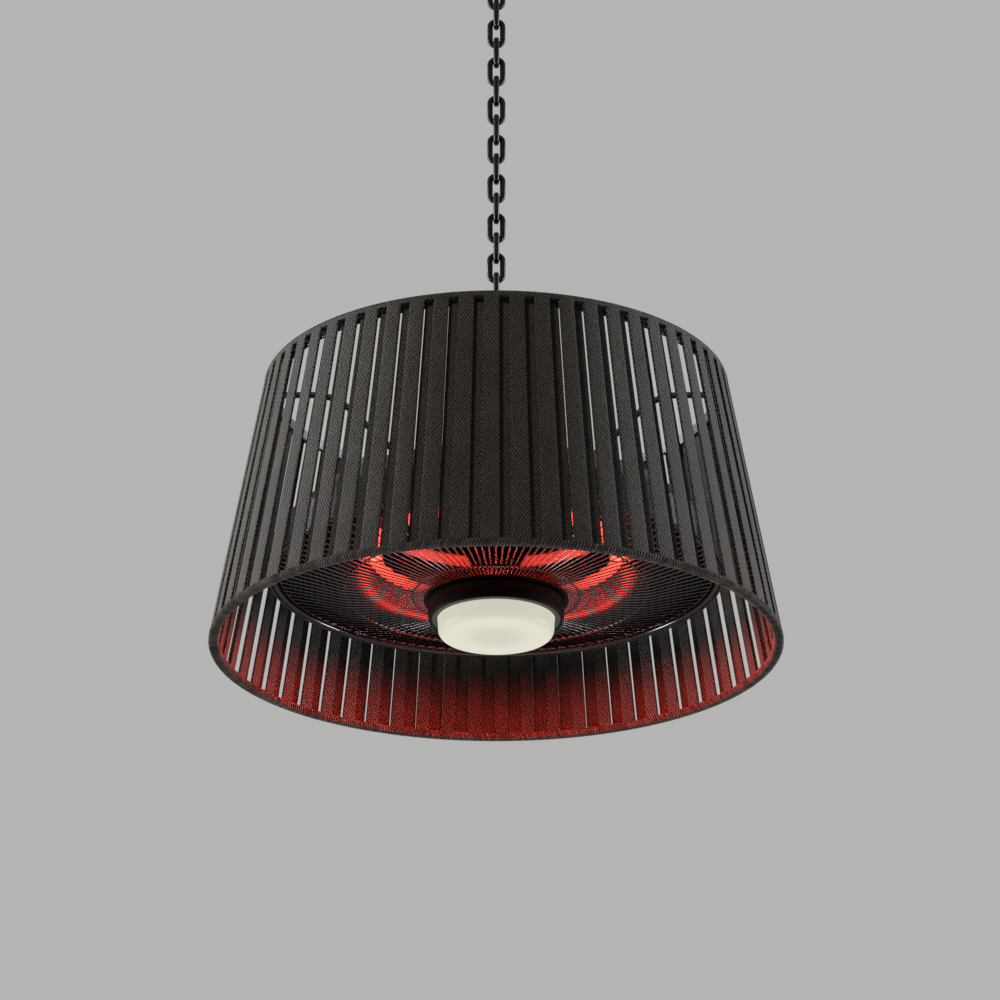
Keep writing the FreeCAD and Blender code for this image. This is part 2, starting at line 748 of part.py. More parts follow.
def make_lamp_housing():
    body = new_body("lamp_housing", HEATER)
    middle = ("0", "lamp_top_level")
    foot = ("lamp_foot_radius", "lamp_foot_level")
    turn_profile(body, (
        middle,
        *bevel(("lamp_top_radius", "lamp_top_level"), middle, foot, "lamp_bevel"),
        foot,
        ("lamp_foot_radius - lamp_wall", "lamp_foot_level"),
        ("lamp_top_radius - lamp_wall", "lamp_top_level - lamp_wall"),
        ("0", "lamp_top_level - lamp_wall"),
    ))


def make_lamp_bezel():
    body = new_body("lamp_bezel", HEATER)
    low = "lamp_foot_level + bezel_recess"
    edge = "lamp_foot_radius - lamp_wall - fit_gap"
    turn_profile(body, (
        ("bezel_hole_radius", low),
        (edge, low),
        (edge, low + " + bezel_metal"),
        ("bezel_hole_radius", low + " + bezel_metal"),
    ))


def make_diffuser():
    body = new_body("lamp_diffuser", HEATER)
    seat = "lamp_foot_level + bezel_recess + bezel_metal"
    middle = ("0", "diffuser_foot_level")
    foot = ("diffuser_foot_radius", "diffuser_foot_level")
    rim = ("diffuser_radius", seat)
    inner_middle = ("0", "diffuser_foot_level + diffuser_wall")
    inner_foot = ("diffuser_foot_radius - diffuser_wall", "diffuser_foot_level + diffuser_wall")
    inner_rim = ("diffuser_radius - diffuser_wall", seat + " + diffuser_flange")
    turn_profile(body, (
        middle,
        *bevel(foot, middle, rim, "diffuser_bevel"),
        rim,
        ("diffuser_flange_radius", seat),
        ("diffuser_flange_radius", seat + " + diffuser_flange"),
        inner_rim,
        *bevel(inner_foot, inner_rim, inner_middle, "diffuser_bevel"),
        inner_middle,
    ))


def make_lamp_board():
    body = new_body("lamp_board", HEATER)
    back = "lamp_top_level - lamp_wall"
    board = new_sketch(body, "XY_Plane", lift=back + " - board_thick")
    draw_circle(board, "0", "0", "board_radius")
    add_feature(body, "Pad", board, Length="=board_thick")
    chip = new_sketch(body, "XY_Plane", lift=back + " - board_thick - chip_rise")
    near = "chip_ring_radius - chip_side / 2"
    far = "chip_ring_radius + chip_side / 2"
    draw_polygon(chip, (
        (near, "0 - chip_side / 2"),
        (far, "0 - chip_side / 2"),
        (far, "chip_side / 2"),
        (near, "chip_side / 2"),
    ))
    repeat_around(body, add_feature(body, "Pad", chip, Length="=chip_rise"), "chip_count")


# Shade: two layers of upright strips with a hollow between them, the inner strips behind the outer gaps.
def make_shade():
    body = new_body("shade", HEATER)
    low = "shade_foot_band"
    high = "shade_rise - shade_head_band"

    def band(inset, outset):
        return (
            (wall_radius(low) + " - (" + outset + ")", low),
            (wall_radius(high) + " - (" + outset + ")", high),
            (wall_radius(high) + " - (" + inset + ")", high),
            (wall_radius(low) + " - (" + inset + ")", low),
        )

    turn_profile(body, (
        ("shade_foot_radius", "0"),
        ("shade_head_radius", "shade_rise"),
        ("shade_head_radius - shade_wall", "shade_rise"),
        ("shade_foot_radius - shade_wall", "0"),
    ))
    turn_profile(body, band("shade_wall - strip_layer", "strip_layer"), "Groove")
    pitch = "360 / strip_count"
    windows = (
        ("outer_strip_share", "strip_phase - 90", band("1.5 * strip_layer", "0 - strip_layer")),
        ("inner_strip_share", "strip_phase - 90 + 180 / strip_count",
         band("shade_wall + strip_layer", "shade_wall - 1.5 * strip_layer")),
    )
    for share, turn, corners in windows:
        window = turn_profile(body, corners, "Groove", pitch + " * (1 - " + share + ")", turn)
        repeat_around(body, window, "strip_count")


# Spider that carries the shade: a hoop inside its upper edge and bent arms to a boss on the stem.
def make_spider():
    body = new_body("shade_spider", HEATER)
    high = "shade_rise - hoop_metal / 2"
    low = high + " - hoop_depth"
    inset = " - shade_wall - fit_gap"
    turn_profile(body, (
        (wall_radius(low) + inset, low),
        (wall_radius(high) + inset, high),
        (wall_radius(high) + inset + " - hoop_metal", high),
        (wall_radius(low) + inset + " - hoop_metal", low),
    ))
    seat = "pan_top_level + cover_rise"
    turn_profile(body, (
        ("stem_radius + fit_gap", seat),
        ("spider_boss_radius", seat),
        ("spider_boss_radius", seat + " + spider_boss_rise"),
        ("stem_radius + fit_gap", seat + " + spider_boss_rise"),
    ))
    start = wall_radius(ARM_LEVEL) + inset + " - hoop_metal / 2"
    rest = seat + " + arm_radius + fit_gap"
    spots = (
        (start, ARM_LEVEL),
        ("arm_bend_radius", ARM_LEVEL),
        ("arm_foot_radius", rest),
        ("spider_boss_radius - arm_radius", rest),
    )
    section = new_sketch(body, "YZ_Plane", lift=start)
    draw_wire(section, "0", ARM_LEVEL, "arm_radius")
    arm = sweep_along(body, section, spots)
    repeat_around(body, arm, "arm_count")


make_ceiling_plate()
make_ceiling_hook()
for place in range(int(sheet.link_count)):
    make_link(place)
make_spring_hook()
make_gate()
make_rivet()
make_eye()
make_stem()
make_stem_nut()
make_pan()
make_terminal_cover()
make_gland()
make_terminal_block()
make_inner_box("lamp_driver", "inner_box_offset", "driver_length", "driver_depth", "driver_rise")
make_reflector()
for place in range(int(sheet.spacer_count)):
    make_spacer(place)
make_tube("heating_tube_right", "0")
make_tube("heating_tube_left", "180")
make_tube_holder("tube_holder_front", "0 - 90")
make_tube_holder("tube_holder_back", "90")
make_tube_clip("tube_clip_right", "0")
make_tube_clip("tube_clip_left", "180")
make_guard()
make_guard_hoop("guard_inner_hoop", "guard_inner_radius", inner_level)
make_guard_hoop("guard_mid_hoop", "guard_mid_radius", inner_level)
make_guard_hoop("guard_edge_hoop", GUARD_EDGE, outer_level)
make_guard_bead()
make_lamp_post()
make_lamp_housing()
make_lamp_bezel()
make_lamp_board()
make_diffuser()
make_shade()
make_spider()
doc.recompute()

for item in doc.Objects:
    if "Invalid" in item.State or "Error" in item.State:
        raise RuntimeError("%s did not build: %s" % (item.Name, item.State))
os.makedirs("parts", exist_ok=True)
for body in nodes:
    shape = body.Shape
    if shape.isNull() or not shape.isValid() or len(shape.Solids) != 1:
        raise RuntimeError("%s is not one valid solid" % body.Label)
    shape.exportStep("parts/%s.step" % body.Label)
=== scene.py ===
import bpy
import json
import math
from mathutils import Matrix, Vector

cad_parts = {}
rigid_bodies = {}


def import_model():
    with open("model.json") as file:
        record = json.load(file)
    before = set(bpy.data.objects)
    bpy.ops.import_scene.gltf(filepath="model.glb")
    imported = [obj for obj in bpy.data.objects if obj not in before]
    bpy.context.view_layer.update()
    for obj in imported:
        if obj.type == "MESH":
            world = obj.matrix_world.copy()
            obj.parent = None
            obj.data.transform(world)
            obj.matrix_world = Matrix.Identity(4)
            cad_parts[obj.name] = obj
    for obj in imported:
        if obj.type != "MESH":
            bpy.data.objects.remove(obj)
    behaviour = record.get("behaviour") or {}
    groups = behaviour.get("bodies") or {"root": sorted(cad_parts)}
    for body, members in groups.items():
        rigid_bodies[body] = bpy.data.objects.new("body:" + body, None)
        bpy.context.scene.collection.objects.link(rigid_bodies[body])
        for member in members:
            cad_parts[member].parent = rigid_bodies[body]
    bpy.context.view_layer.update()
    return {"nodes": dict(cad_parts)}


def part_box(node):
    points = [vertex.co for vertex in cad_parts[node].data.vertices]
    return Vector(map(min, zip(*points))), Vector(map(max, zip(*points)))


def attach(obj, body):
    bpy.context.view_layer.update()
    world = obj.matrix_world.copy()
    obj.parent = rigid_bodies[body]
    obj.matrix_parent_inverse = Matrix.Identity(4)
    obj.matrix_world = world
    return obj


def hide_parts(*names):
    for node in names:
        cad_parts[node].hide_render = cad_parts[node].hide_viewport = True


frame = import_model()


# Ceiling plate: a pressed steel disc with three screw holes, in black powder paint.
# The paint keeps a fine orange peel, and its gloss drifts a little over the disc.
def feed(item, inputs):
    """Set a node's inputs, each a plain value or the output socket of another node."""
    for key, value in inputs.items():
        if isinstance(value, bpy.types.NodeSocket):
            item.id_data.links.new(value, item.inputs[key])
        else:
            item.inputs[key].default_value = value


def put(tree, kind, inputs=None, **settings):
    """Add a node with its settings and inputs."""
    item = tree.nodes.new(kind)
    for key, value in settings.items():
        setattr(item, key, value)
    feed(item, inputs or {})
    return item


def new_material(name):
    """Material and its surface node."""
    material = bpy.data.materials.new(name)
    material.use_nodes = True
    return material, material.node_tree.nodes["Principled BSDF"]


def spot_on(surface):
    """Place on the object that a surface belongs to, in metres."""
    return put(surface.id_data, "ShaderNodeTexCoord").outputs["Object"]


def noise(spot, scale, detail):
    inputs = {"Vector": spot, "Scale": scale, "Detail": detail}
    return put(spot.id_data, "ShaderNodeTexNoise", inputs).outputs[0]


def ranged(value, low, high, least, most, way="LINEAR"):
    """Value between low and high, turned into one between least and most."""
    inputs = {"Value": value, "From Min": low, "From Max": high, "To Min": least, "To Max": most}
    return put(value.id_data, "ShaderNodeMapRange", inputs, interpolation_type=way).outputs[0]


def blend(share, first, second):
    """Colour between two others."""
    return put(share.id_data, "ShaderNodeMix", {0: share, 6: first, 7: second}, data_type="RGBA").outputs[2]


def bumped(height, depth, strength):
    """Relief that follows a height."""
    inputs = {"Height": height, "Distance": depth, "Strength": strength}
    return put(height.id_data, "ShaderNodeBump", inputs).outputs[0]


def tinted(colour, share):
    return tuple(min(1.0, part * share) for part in colour) + (1.0,)


def coated(name, colour, roughness, peel, metallic=0.0, specular=0.5):
    """Paint, plastic or bare metal whose tone and gloss drift slowly over a fine orange peel."""
    material, surface = new_material(name)
    spot = spot_on(surface)
    drift = noise(spot, scale=38.0, detail=5.0)
    grain = noise(spot, scale=850.0, detail=2.0)
    feed(surface, {
        "Base Color": blend(drift, tinted(colour, 0.75), tinted(colour, 1.25)),
        "Roughness": ranged(drift, 0.0, 1.0, roughness * 0.7, roughness * 1.3),
        "Normal": bumped(grain, peel, strength=0.7), "Metallic": metallic, "Specular IOR Level": specular})
    return material


def dress(material, *names):
    """Give carried-over pieces of the frame their finish."""
    for name in names:
        slots = frame["nodes"][name].data.materials
        slots.clear()
        slots.append(material)


gloss_black = coated("gloss_black_paint", (0.016, 0.016, 0.018), roughness=0.30, peel=0.00003)
dress(gloss_black, "ceiling_plate", "gate_rivet", "stem_nut")


# Ceiling hook: a round steel bar bent into an open ring, with a collar that draws up under the plate.
# It is painted with the plate, and its mouth, at the upper right, takes the chain's top link.
def add_piece(name, points, faces, spread):
    """Mesh object at the origin with smooth faces, creases kept, and a UV map."""
    mesh = bpy.data.meshes.new(name)
    mesh.from_pydata(points, [], faces)
    layer = mesh.uv_layers.new(name="UVMap")
    for loop, spot in zip(layer.data, (spot for face in spread for spot in face)):
        loop.uv = spot
    mesh.shade_smooth()
    mesh.set_sharp_from_angle(angle=math.radians(38))
    piece = bpy.data.objects.new(name, mesh)
    bpy.context.scene.collection.objects.link(piece)
    return piece


def skin_of(rows, closed):
    """Faces between rings of points, a lone point being a pole; UVs are the share round and metres along."""
    points, starts, faces, spread = [], [], [], []
    for ring, _ in rows:
        starts.append(len(points))
        points.extend(ring)
    pairs = [(i, i + 1) for i in range(len(rows) - 1)]
    if closed:
        pairs.append((len(rows) - 1, 0))
    sides = max(len(ring) for ring, _ in rows)
    for a, b in pairs:
        (ring_a, far_a), (ring_b, far_b) = rows[a], rows[b]
        if b == 0:
            far_b = far_a + (ring_a[0] - ring_b[0]).length
        for k in range(sides):
            n = (k + 1) % sides
            around, onward = k / sides, (k + 1) / sides
            if len(ring_a) == 1:
                faces.append((starts[a], starts[b] + n, starts[b] + k))
                spread.append(((around, far_a), (onward, far_b), (around, far_b)))
            elif len(ring_b) == 1:
                faces.append((starts[a] + k, starts[a] + n, starts[b]))
                spread.append(((around, far_a), (onward, far_a), (around, far_b)))
            else:
                faces.append((starts[a] + k, starts[a] + n, starts[b] + n, starts[b] + k))
                spread.append(((around, far_a), (onward, far_a), (onward, far_b), (around, far_b)))
    return points, faces, spread


def swept(name, path, radius, side, closed=False, sides=16):
    """Round bar along a flat path; side is square to its plane, and open ends are domed."""
    count = len(path)
    rows, far = [], 0.0
    for i, spot in enumerate(path):
        before = path[i - 1] if closed or i else spot
        after = path[(i + 1) % count] if closed or i < count - 1 else spot
        along = (after - before).normalized()
        out = side.cross(along).normalized()
        far += (spot - path[i - 1]).length if i else 0.0
        stations = [(spot, 1.0)]
        if not closed and i in (0, count - 1):
            inward = along if i == 0 else -along
            dome = (0.0, 0.35, 0.7, 1.05, math.pi / 2)
            stations = [(spot + inward * radius * (1 - math.cos(turn)), math.sin(turn)) for turn in dome]
            stations = stations if i == 0 else stations[::-1]
        for centre, share in stations:
            angles = [2 * math.pi * k / sides for k in range(sides)]
            ring = [centre + (out * math.cos(a) + side * math.sin(a)) * radius * share for a in angles]
            rows.append(([centre] if share == 0.0 else ring, far))
    return add_piece(name, *skin_of(rows, closed))


def arc(centre, radius, start, end, steps, right, up):
    """Points of an arc in the plane of right and up, angles in degrees."""
    turns = [math.radians(start + (end - start) * i / steps) for i in range(steps + 1)]
    return [centre + right * radius * math.cos(t) + up * radius * math.sin(t) for t in turns]


def fit(piece, body, slot, material, *nodes):
    """Finish a piece, tie it to its body and hide the pieces of the frame it stands for."""
    piece.data.materials.clear()
    piece.data.materials.append(material)
    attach(piece, body)
    if nodes:
        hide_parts(*nodes)


def joined(name, *pieces):
    """Several meshes as one piece."""
    with bpy.context.temp_override(active_object=pieces[0], selected_editable_objects=list(pieces)):
        bpy.ops.object.join()
    pieces[0].name = name
    return pieces[0]


def turned(name, profile, steps):
    """Closed profile of (radius, height, rounding) corners, turned about the upright axis."""
    outline = []
    bend_steps = 6
    for i, (radius, height, rounding) in enumerate(profile):
        spot = Vector((radius, height))
        before = Vector(profile[i - 1][:2]) - spot
        after = Vector(profile[(i + 1) % len(profile)][:2]) - spot
        if not rounding:
            outline.append(spot)
            continue
        half = before.angle(after) / 2
        reach = rounding / math.tan(half)
        middle = spot + (before.normalized() + after.normalized()).normalized() * rounding / math.sin(half)
        first = spot + before.normalized() * reach - middle
        last = spot + after.normalized() * reach - middle
        first.normalize()
        last.normalize()
        outline.extend(middle + first.slerp(last, k / bend_steps) * rounding for k in range(bend_steps + 1))
    rows, far = [], 0.0
    on_axis = outline[0].x == 0.0
    for i, spot in enumerate(outline):
        far += (spot - outline[i - 1]).length if i else 0.0
        angles = [2 * math.pi * k / steps for k in range(steps)]
        ring = [Vector((spot.x * math.cos(a), spot.x * math.sin(a), spot.y)) for a in angles]
        rows.append((ring[:1] if spot.x == 0.0 else ring, far))
    return add_piece(name, *skin_of(rows, not on_axis))


right, up, away = Vector((1, 0, 0)), Vector((0, 0, 1)), Vector((0, 1, 0))
hook_wire = 0.003
hook_ring = 0.011
hook_shank = 0.008
hook_low, hook_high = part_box("ceiling_hook")
hook_centre = Vector((0, 0, hook_low.z + hook_wire + hook_ring))
shank_top = Vector((0, 0, hook_high.z))
hook_path = [shank_top, shank_top - up * hook_shank / 2, shank_top - up * hook_shank]
hook_path += arc(hook_centre, hook_ring, 90, 360, 36, right, up)
hook_bar = swept("hook_bar", hook_path, hook_wire, away)
plate_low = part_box("ceiling_plate")[0].z
collar_radius = 0.007
collar_low = plate_low - 0.004
collar = turned("hook_collar", (
    (0.0, collar_low, 0), (collar_radius, collar_low, 0.0008), (collar_radius, plate_low, 0.0004),
    (0.0, plate_low, 0),
), steps=48)
hook = joined("ceiling_hook_bar", hook_bar, collar)
fit(hook, "ceiling_fitting", "black_steel", gloss_black, "ceiling_hook")


# Chain: welded links of round steel wire in black paint, every other one turned a quarter.
# Each link is bent to a long ring, welded shut and dipped, and the coat dries to a satin gloss.
def tree_of(values):
    """Node tree of the sockets among some values."""
    return next(value.id_data for value in values if isinstance(value, bpy.types.NodeSocket))


def calc(operation, *values):
    """Reckoning with sockets and plain numbers."""
    return put(tree_of(values), "ShaderNodeMath", dict(enumerate(values)), operation=operation).outputs[0]


def plus(total, *more):
    for value in more:
        total = calc("ADD", total, value)
    return total


def times(total, *more):
    for value in more:
        total = calc("MULTIPLY", total, value)
    return total


def xyz(x=0.0, y=0.0, z=0.0):
    return put(tree_of((x, y, z)), "ShaderNodeCombineXYZ", {0: x, 1: y, 2: z}).outputs[0]


def parts_of(spot):
    return put(spot.id_data, "ShaderNodeSeparateXYZ", {0: spot}).outputs


def new_tree(name, **inputs):
    """Geometry tree with named inputs and one result."""
    tree = bpy.data.node_groups.new(name, "GeometryNodeTree")
    kinds = {int: "NodeSocketInt", float: "NodeSocketFloat", bpy.types.Material: "NodeSocketMaterial"}
    for key, kind in inputs.items():
        tree.interface.new_socket(key, in_out="INPUT", socket_type=kinds[kind])
    tree.interface.new_socket("result", in_out="OUTPUT", socket_type="NodeSocketGeometry")
    return tree, tree.nodes.new("NodeGroupInput").outputs


def shape(tree, kind, inputs=None, **settings):
    """First output of a new geometry node."""
    return put(tree, "GeometryNode" + kind, inputs, **settings).outputs[0]


def wired(curve, radius, sides, capped=False):
    """Round wire along a curve."""
    tree = curve.id_data
    section = shape(tree, "CurvePrimitiveCircle", {"Resolution": sides, "Radius": radius})
    return shape(tree, "CurveToMesh", {"Curve": curve, "Profile Curve": section, "Fill Caps": capped})


def finish_tree(tree, geometry, material):
    """Realized, smooth geometry with its material, as the tree's result."""
    whole = shape(tree, "RealizeInstances", {"Geometry": geometry})
    smooth = shape(tree, "SetShadeSmooth", {"Geometry": whole})
    dressed = shape(tree, "SetMaterial", {"Geometry": smooth, "Material": material})
    put(tree, "NodeGroupOutput", {"result": dressed})


def grown(name, tree, **values):
    """Run a geometry tree once and keep its result as a plain mesh."""
    piece = bpy.data.objects.new(name, bpy.data.meshes.new(name))
    bpy.context.scene.collection.objects.link(piece)
    growth = piece.modifiers.new("growth", "NODES")
    growth.node_group = tree
    for socket in tree.interface.items_tree:
        if socket.in_out == "INPUT":
            growth[socket.identifier] = values[socket.name]
    graph = bpy.context.evaluated_depsgraph_get()
    mesh = bpy.data.meshes.new_from_object(piece.evaluated_get(graph))
    piece.modifiers.remove(growth)
    piece.data = mesh
    return piece


link_low, link_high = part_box("chain_link_02")
link_wire = (link_high.y - link_low.y) / 2
link_bend = link_high.x - link_wire
link_tall = link_high.z - link_low.z
link_pitch = link_high.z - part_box("chain_link_03")[1].z
link_steps = 36
chain_tree, given = new_tree(
    "welded_chain", links=int, pitch=float, wire=float, bend=float, half_side=float,
    top=float, first_turn=float, paint=bpy.types.Material)
loop = shape(chain_tree, "CurvePrimitiveCircle", {"Resolution": link_steps, "Radius": given["bend"]})
loop = shape(chain_tree, "Transform", {"Geometry": loop, "Rotation": (math.pi / 2, math.pi / link_steps, 0)})
height = parts_of(shape(chain_tree, "InputPosition"))[2]
stretch = times(calc("SIGN", height), given["half_side"])
loop = shape(chain_tree, "SetPosition", {"Geometry": loop, "Offset": xyz(z=stretch)})
link = wired(loop, given["wire"], sides=14)
drop = xyz(z=times(given["pitch"], -1.0))
row = shape(chain_tree, "MeshLine", {
    "Count": given["links"], "Start Location": xyz(z=given["top"]), "Offset": drop})
quarter = times(calc("MODULO", shape(chain_tree, "InputIndex"), 2.0), math.pi / 2)
turn = xyz(z=plus(quarter, given["first_turn"]))
links = shape(chain_tree, "InstanceOnPoints", {"Points": row, "Instance": link, "Rotation": turn})
finish_tree(chain_tree, links, given["paint"])
chain_paint = coated(
    "chain_black_paint", (0.004, 0.004, 0.0044), roughness=0.30, peel=0.000001, specular=0.18)
chain_names = sorted(name for name in frame["nodes"] if name.startswith("chain_link_"))
for label, body, names, first_turn in (
    ("top_chain_link", "top_link", chain_names[:1], math.pi / 2),
    ("hanging_chain", "chain", chain_names[1:], 0.0),
):
    top_low, top_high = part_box(names[0])
    piece = grown(label, chain_tree, links=len(names), pitch=link_pitch, wire=link_wire, bend=link_bend,
                  half_side=link_tall / 2 - link_bend - link_wire, top=(top_low.z + top_high.z) / 2,
                  first_turn=first_turn, paint=chain_paint)
    fit(piece, body, "black_steel", chain_paint, *names)


# Spring hook: one bent steel bar with a gate that swings in on a rivet between two pressed lugs.
# It joins the chain's last link to the eye on the heater and has the eye's black paint.
spring_low, spring_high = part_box("spring_hook_body")
spring_wire = 0.0025
spring_bend = 0.007
spring_mid = Vector((0, 0, (spring_low.z + spring_high.z) / 2))
spring_half = (spring_high.z - spring_low.z) / 2 - spring_bend - spring_wire
gate_low, gate_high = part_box("spring_hook_gate")
nose_gap = 0.0004
stub_gap = 0.001
spring_path = [Vector((spring_bend, 0, gate_high.z + nose_gap))]
spring_path += arc(spring_mid + up * spring_half, spring_bend, 0, 180, 24, right, up)
spring_path += arc(spring_mid - up * spring_half, spring_bend, 180, 360, 24, right, up)
spring_path += [Vector((spring_bend, 0, gate_low.z - stub_gap))]
spring_bar = swept("spring_bar", spring_path, spring_wire, away)
hinge_rise = 0.002
hinge = Vector((spring_bend, 0, gate_low.z + hinge_rise))
lug_half = 0.0025
lug_foot = 0.006
lug_inner = 0.0023
lug_outer = 0.0035


def lug(name, inner, outer):
    """Pressed ear with a round top, between two depths."""
    foot = hinge - up * lug_foot
    outline = [foot - right * lug_half, foot + right * lug_half]
    outline += arc(hinge, lug_half, 0, 180, 12, right, up)
    count = len(outline)
    points = [spot + away * depth for depth in (inner, outer) for spot in outline]
    faces = [tuple(range(count)), tuple(reversed(range(count, 2 * count)))]
    faces += [(i, count + i, count + (i + 1) % count, (i + 1) % count) for i in range(count)]
    return add_piece(name, points, faces, [[(0, 0)] * len(face) for face in faces])


ears = [lug("lug_front", -lug_outer, -lug_inner), lug("lug_back", lug_inner, lug_outer)]
spring_hook = joined("spring_hook_bar", spring_bar, *ears)
fit(spring_hook, "spring_hook", "black_steel", gloss_black, "spring_hook_body")
gate_wire = 0.002
gate_levels = (gate_low.z, (gate_low.z + gate_high.z) / 2, gate_high.z)
gate = swept("spring_gate", [Vector((spring_bend, 0, level)) for level in gate_levels], gate_wire, away)
fit(gate, "gate", "black_steel", gloss_black, "spring_hook_gate")


# Suspension eye, stem and nut: a forged eye screwed on a steel tube that carries the whole heater.
# The tube's flange lies on the housing, and the nut clamps the shade's spider and the cover down.
# All three are painted black like the hooks.
eye_low, eye_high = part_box("suspension_eye")
eye_wire = 0.003
eye_ring = 0.013
eye_steps = 48
eye_centre = Vector((0, 0, eye_high.z - eye_ring - eye_wire))
eye_path = arc(eye_centre, eye_ring, 0, 360 - 360 / eye_steps, eye_steps - 1, away, up)
eye_bar = swept("eye_bar", eye_path, eye_wire, right, closed=True)
stem_inner = 0.004
stem_outer = 0.006
stem_bore = 0.0063
boss_radius = 0.009
boss_top = eye_centre.z - eye_ring + eye_wire / 3
eye_boss = turned("eye_boss", (
    (0.0, eye_low.z + 0.008, 0), (stem_bore, eye_low.z, 0), (boss_radius, eye_low.z, 0.0006),
    (boss_radius, boss_top - 0.005, 0.002), (stem_outer, boss_top, 0.002), (0.0, boss_top, 0),
), steps=48)
fit(joined("forged_eye", eye_bar, eye_boss), "heater", "black_steel", gloss_black, "suspension_eye")
stem_low, stem_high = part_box("suspension_stem")
flange_radius = 0.020
flange_top = stem_low.z + 0.003
stem = turned("stem_tube", (
    (stem_inner, stem_low.z, 0), (flange_radius, stem_low.z, 0), (flange_radius, flange_top, 0.001),
    (stem_outer, flange_top, 0), (stem_outer, stem_high.z, 0), (stem_inner, stem_high.z, 0),
), steps=48)
fit(stem, "heater", "black_steel", gloss_black, "suspension_stem")


# Housing pan and terminal cover: deep-drawn steel shells in satin black enamel, open towards the ground.
# The cover sits on the pan's flat top and hides the terminal block and the lamp's driver, in cream plastic.
# The gland beside them is black plastic.
satin_black = coated("satin_black_enamel", (0.020, 0.020, 0.021), roughness=0.45, peel=0.00003)
foot_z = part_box("shade")[0].z
pan_low, pan_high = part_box("housing_pan")
pan_metal = 0.0015
pan_taper = 0.003
pan_shoulder = foot_z + 0.100
pan_flat = 0.172
pan_round = 0.014


def pan_side(inset):
    return [
        (pan_high.x - inset, pan_low.z, 0),
        (pan_high.x - pan_taper - inset, pan_shoulder - inset / 2, pan_round),
        (pan_flat - inset / 2, pan_high.z - inset, pan_round),
        (0.0, pan_high.z - inset, 0),
    ]


pan = turned("pan_shell", pan_side(pan_metal)[::-1] + pan_side(0.0), steps=128)
fit(pan, "heater", "black_enamel", satin_black, "housing_pan")
cover_low, cover_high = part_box("terminal_cover")
cover_round = 0.006


def cover_side(inset):
    return [
        (cover_high.x - inset, cover_low.z, 0),
        (cover_high.x - inset, cover_high.z - inset, cover_round - inset),
        (stem_bore, cover_high.z - inset, 0),
    ]


cover = turned("cover_shell", cover_side(pan_metal)[::-1] + cover_side(0.0), steps=96)
fit(cover, "heater", "black_enamel", satin_black, "terminal_cover")
gland_plastic = coated("gland_plastic", (0.022, 0.022, 0.022), roughness=0.6, peel=0.00006)
dress(gland_plastic, "power_gland")
cream_plastic = coated("cream_plastic", (0.62, 0.58, 0.46), roughness=0.5, peel=0.00004)
dress(cream_plastic, "terminal_block", "lamp_driver")


# Reflector: a spun dish of dark, polished metal that throws the heat down, on four steel spacers.
# Faint turning marks run round it, so its highlights spread a little along the rings.
def from_axis(surface):
    """Distance of a place on a surface from the upright axis."""
    x, y, _ = parts_of(spot_on(surface))
    return calc("SQRT", plus(calc("POWER", x, 2.0), calc("POWER", y, 2.0)))


def spun_metal(name, colour, roughness):
    """Metal whose tone, gloss and relief change from ring to ring."""
    material, surface = new_material(name)
    marks = {"W": from_axis(surface), "Scale": 700.0, "Detail": 3.0}
    rings = put(surface.id_data, "ShaderNodeTexNoise", marks, noise_dimensions="1D").outputs[0]
    feed(surface, {
        "Base Color": blend(rings, tinted(colour, 0.7), tinted(colour, 1.3)),
        "Roughness": ranged(rings, 0.0, 1.0, roughness * 0.7, roughness * 1.4),
        "Normal": bumped(rings, depth=0.00002, strength=0.5),
        "Metallic": 1.0, "Specular Tint": (0.5, 0.5, 0.5, 1.0)})
    return material


reflector_low, reflector_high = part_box("reflector")
reflector_metal = 0.0008
reflector_flat = 0.150
reflector_round = 0.012
reflector_face = reflector_high.z - reflector_metal
reflector = turned("reflector_dish", (
    (0.0, reflector_face, 0), (reflector_flat, reflector_face, reflector_round),
    (reflector_high.x - reflector_metal, reflector_low.z, 0), (reflector_high.x, reflector_low.z, 0),
    (reflector_flat + reflector_metal, reflector_high.z, reflector_round), (0.0, reflector_high.z, 0),
), steps=128)
dark_mirror = spun_metal("dark_reflector_metal", (0.036, 0.034, 0.033), roughness=0.05)
fit(reflector, "heater", "dark_reflector", dark_mirror, "reflector")
plain_steel = coated("plain_steel", (0.30, 0.30, 0.31), roughness=0.35, peel=0.00002, metallic=1.0)
dress(plain_steel, *("reflector_spacer_%d" % place for place in (1, 2, 3, 4)))


# Heating tubes: two half rings of quartz glass, held at their ends in dark ceramic and by a clip midway.
# In each sleeve lies a wound wire that glows red. The glow dies away towards the cold ends.
def minus(first, second):
    return calc("SUBTRACT", first, second)


def glowing(name, place, ends, seen, thrown):
    """Glow that fades along a run, 0 to 1, to its cold ends; the eye is shown less than it throws."""
    material, surface = new_material(name)
    run = place(surface.id_data)
    warm = ranged(calc("MINIMUM", run, minus(1.0, run)), ends * 0.3, ends, 0.0, 1.0, "SMOOTHSTEP")
    uneven = ranged(noise(spot_on(surface), scale=60.0, detail=2.0), 0.0, 1.0, 0.8, 1.2)
    watched = put(surface.id_data, "ShaderNodeLightPath").outputs["Is Camera Ray"]
    power = ranged(watched, 0.0, 1.0, thrown, seen)
    feed(surface, {
        "Emission Strength": times(warm, uneven, power), "Emission Color": (1.0, 0.050, 0.029, 1.0)})
    return material, surface


def noted(geometry, name, value, domain, data_type="FLOAT"):
    """Geometry that carries a value under a name."""
    inputs = {"Geometry": geometry, "Name": name, "Value": value}
    return shape(value.id_data, "StoreNamedAttribute", inputs, data_type=data_type, domain=domain)


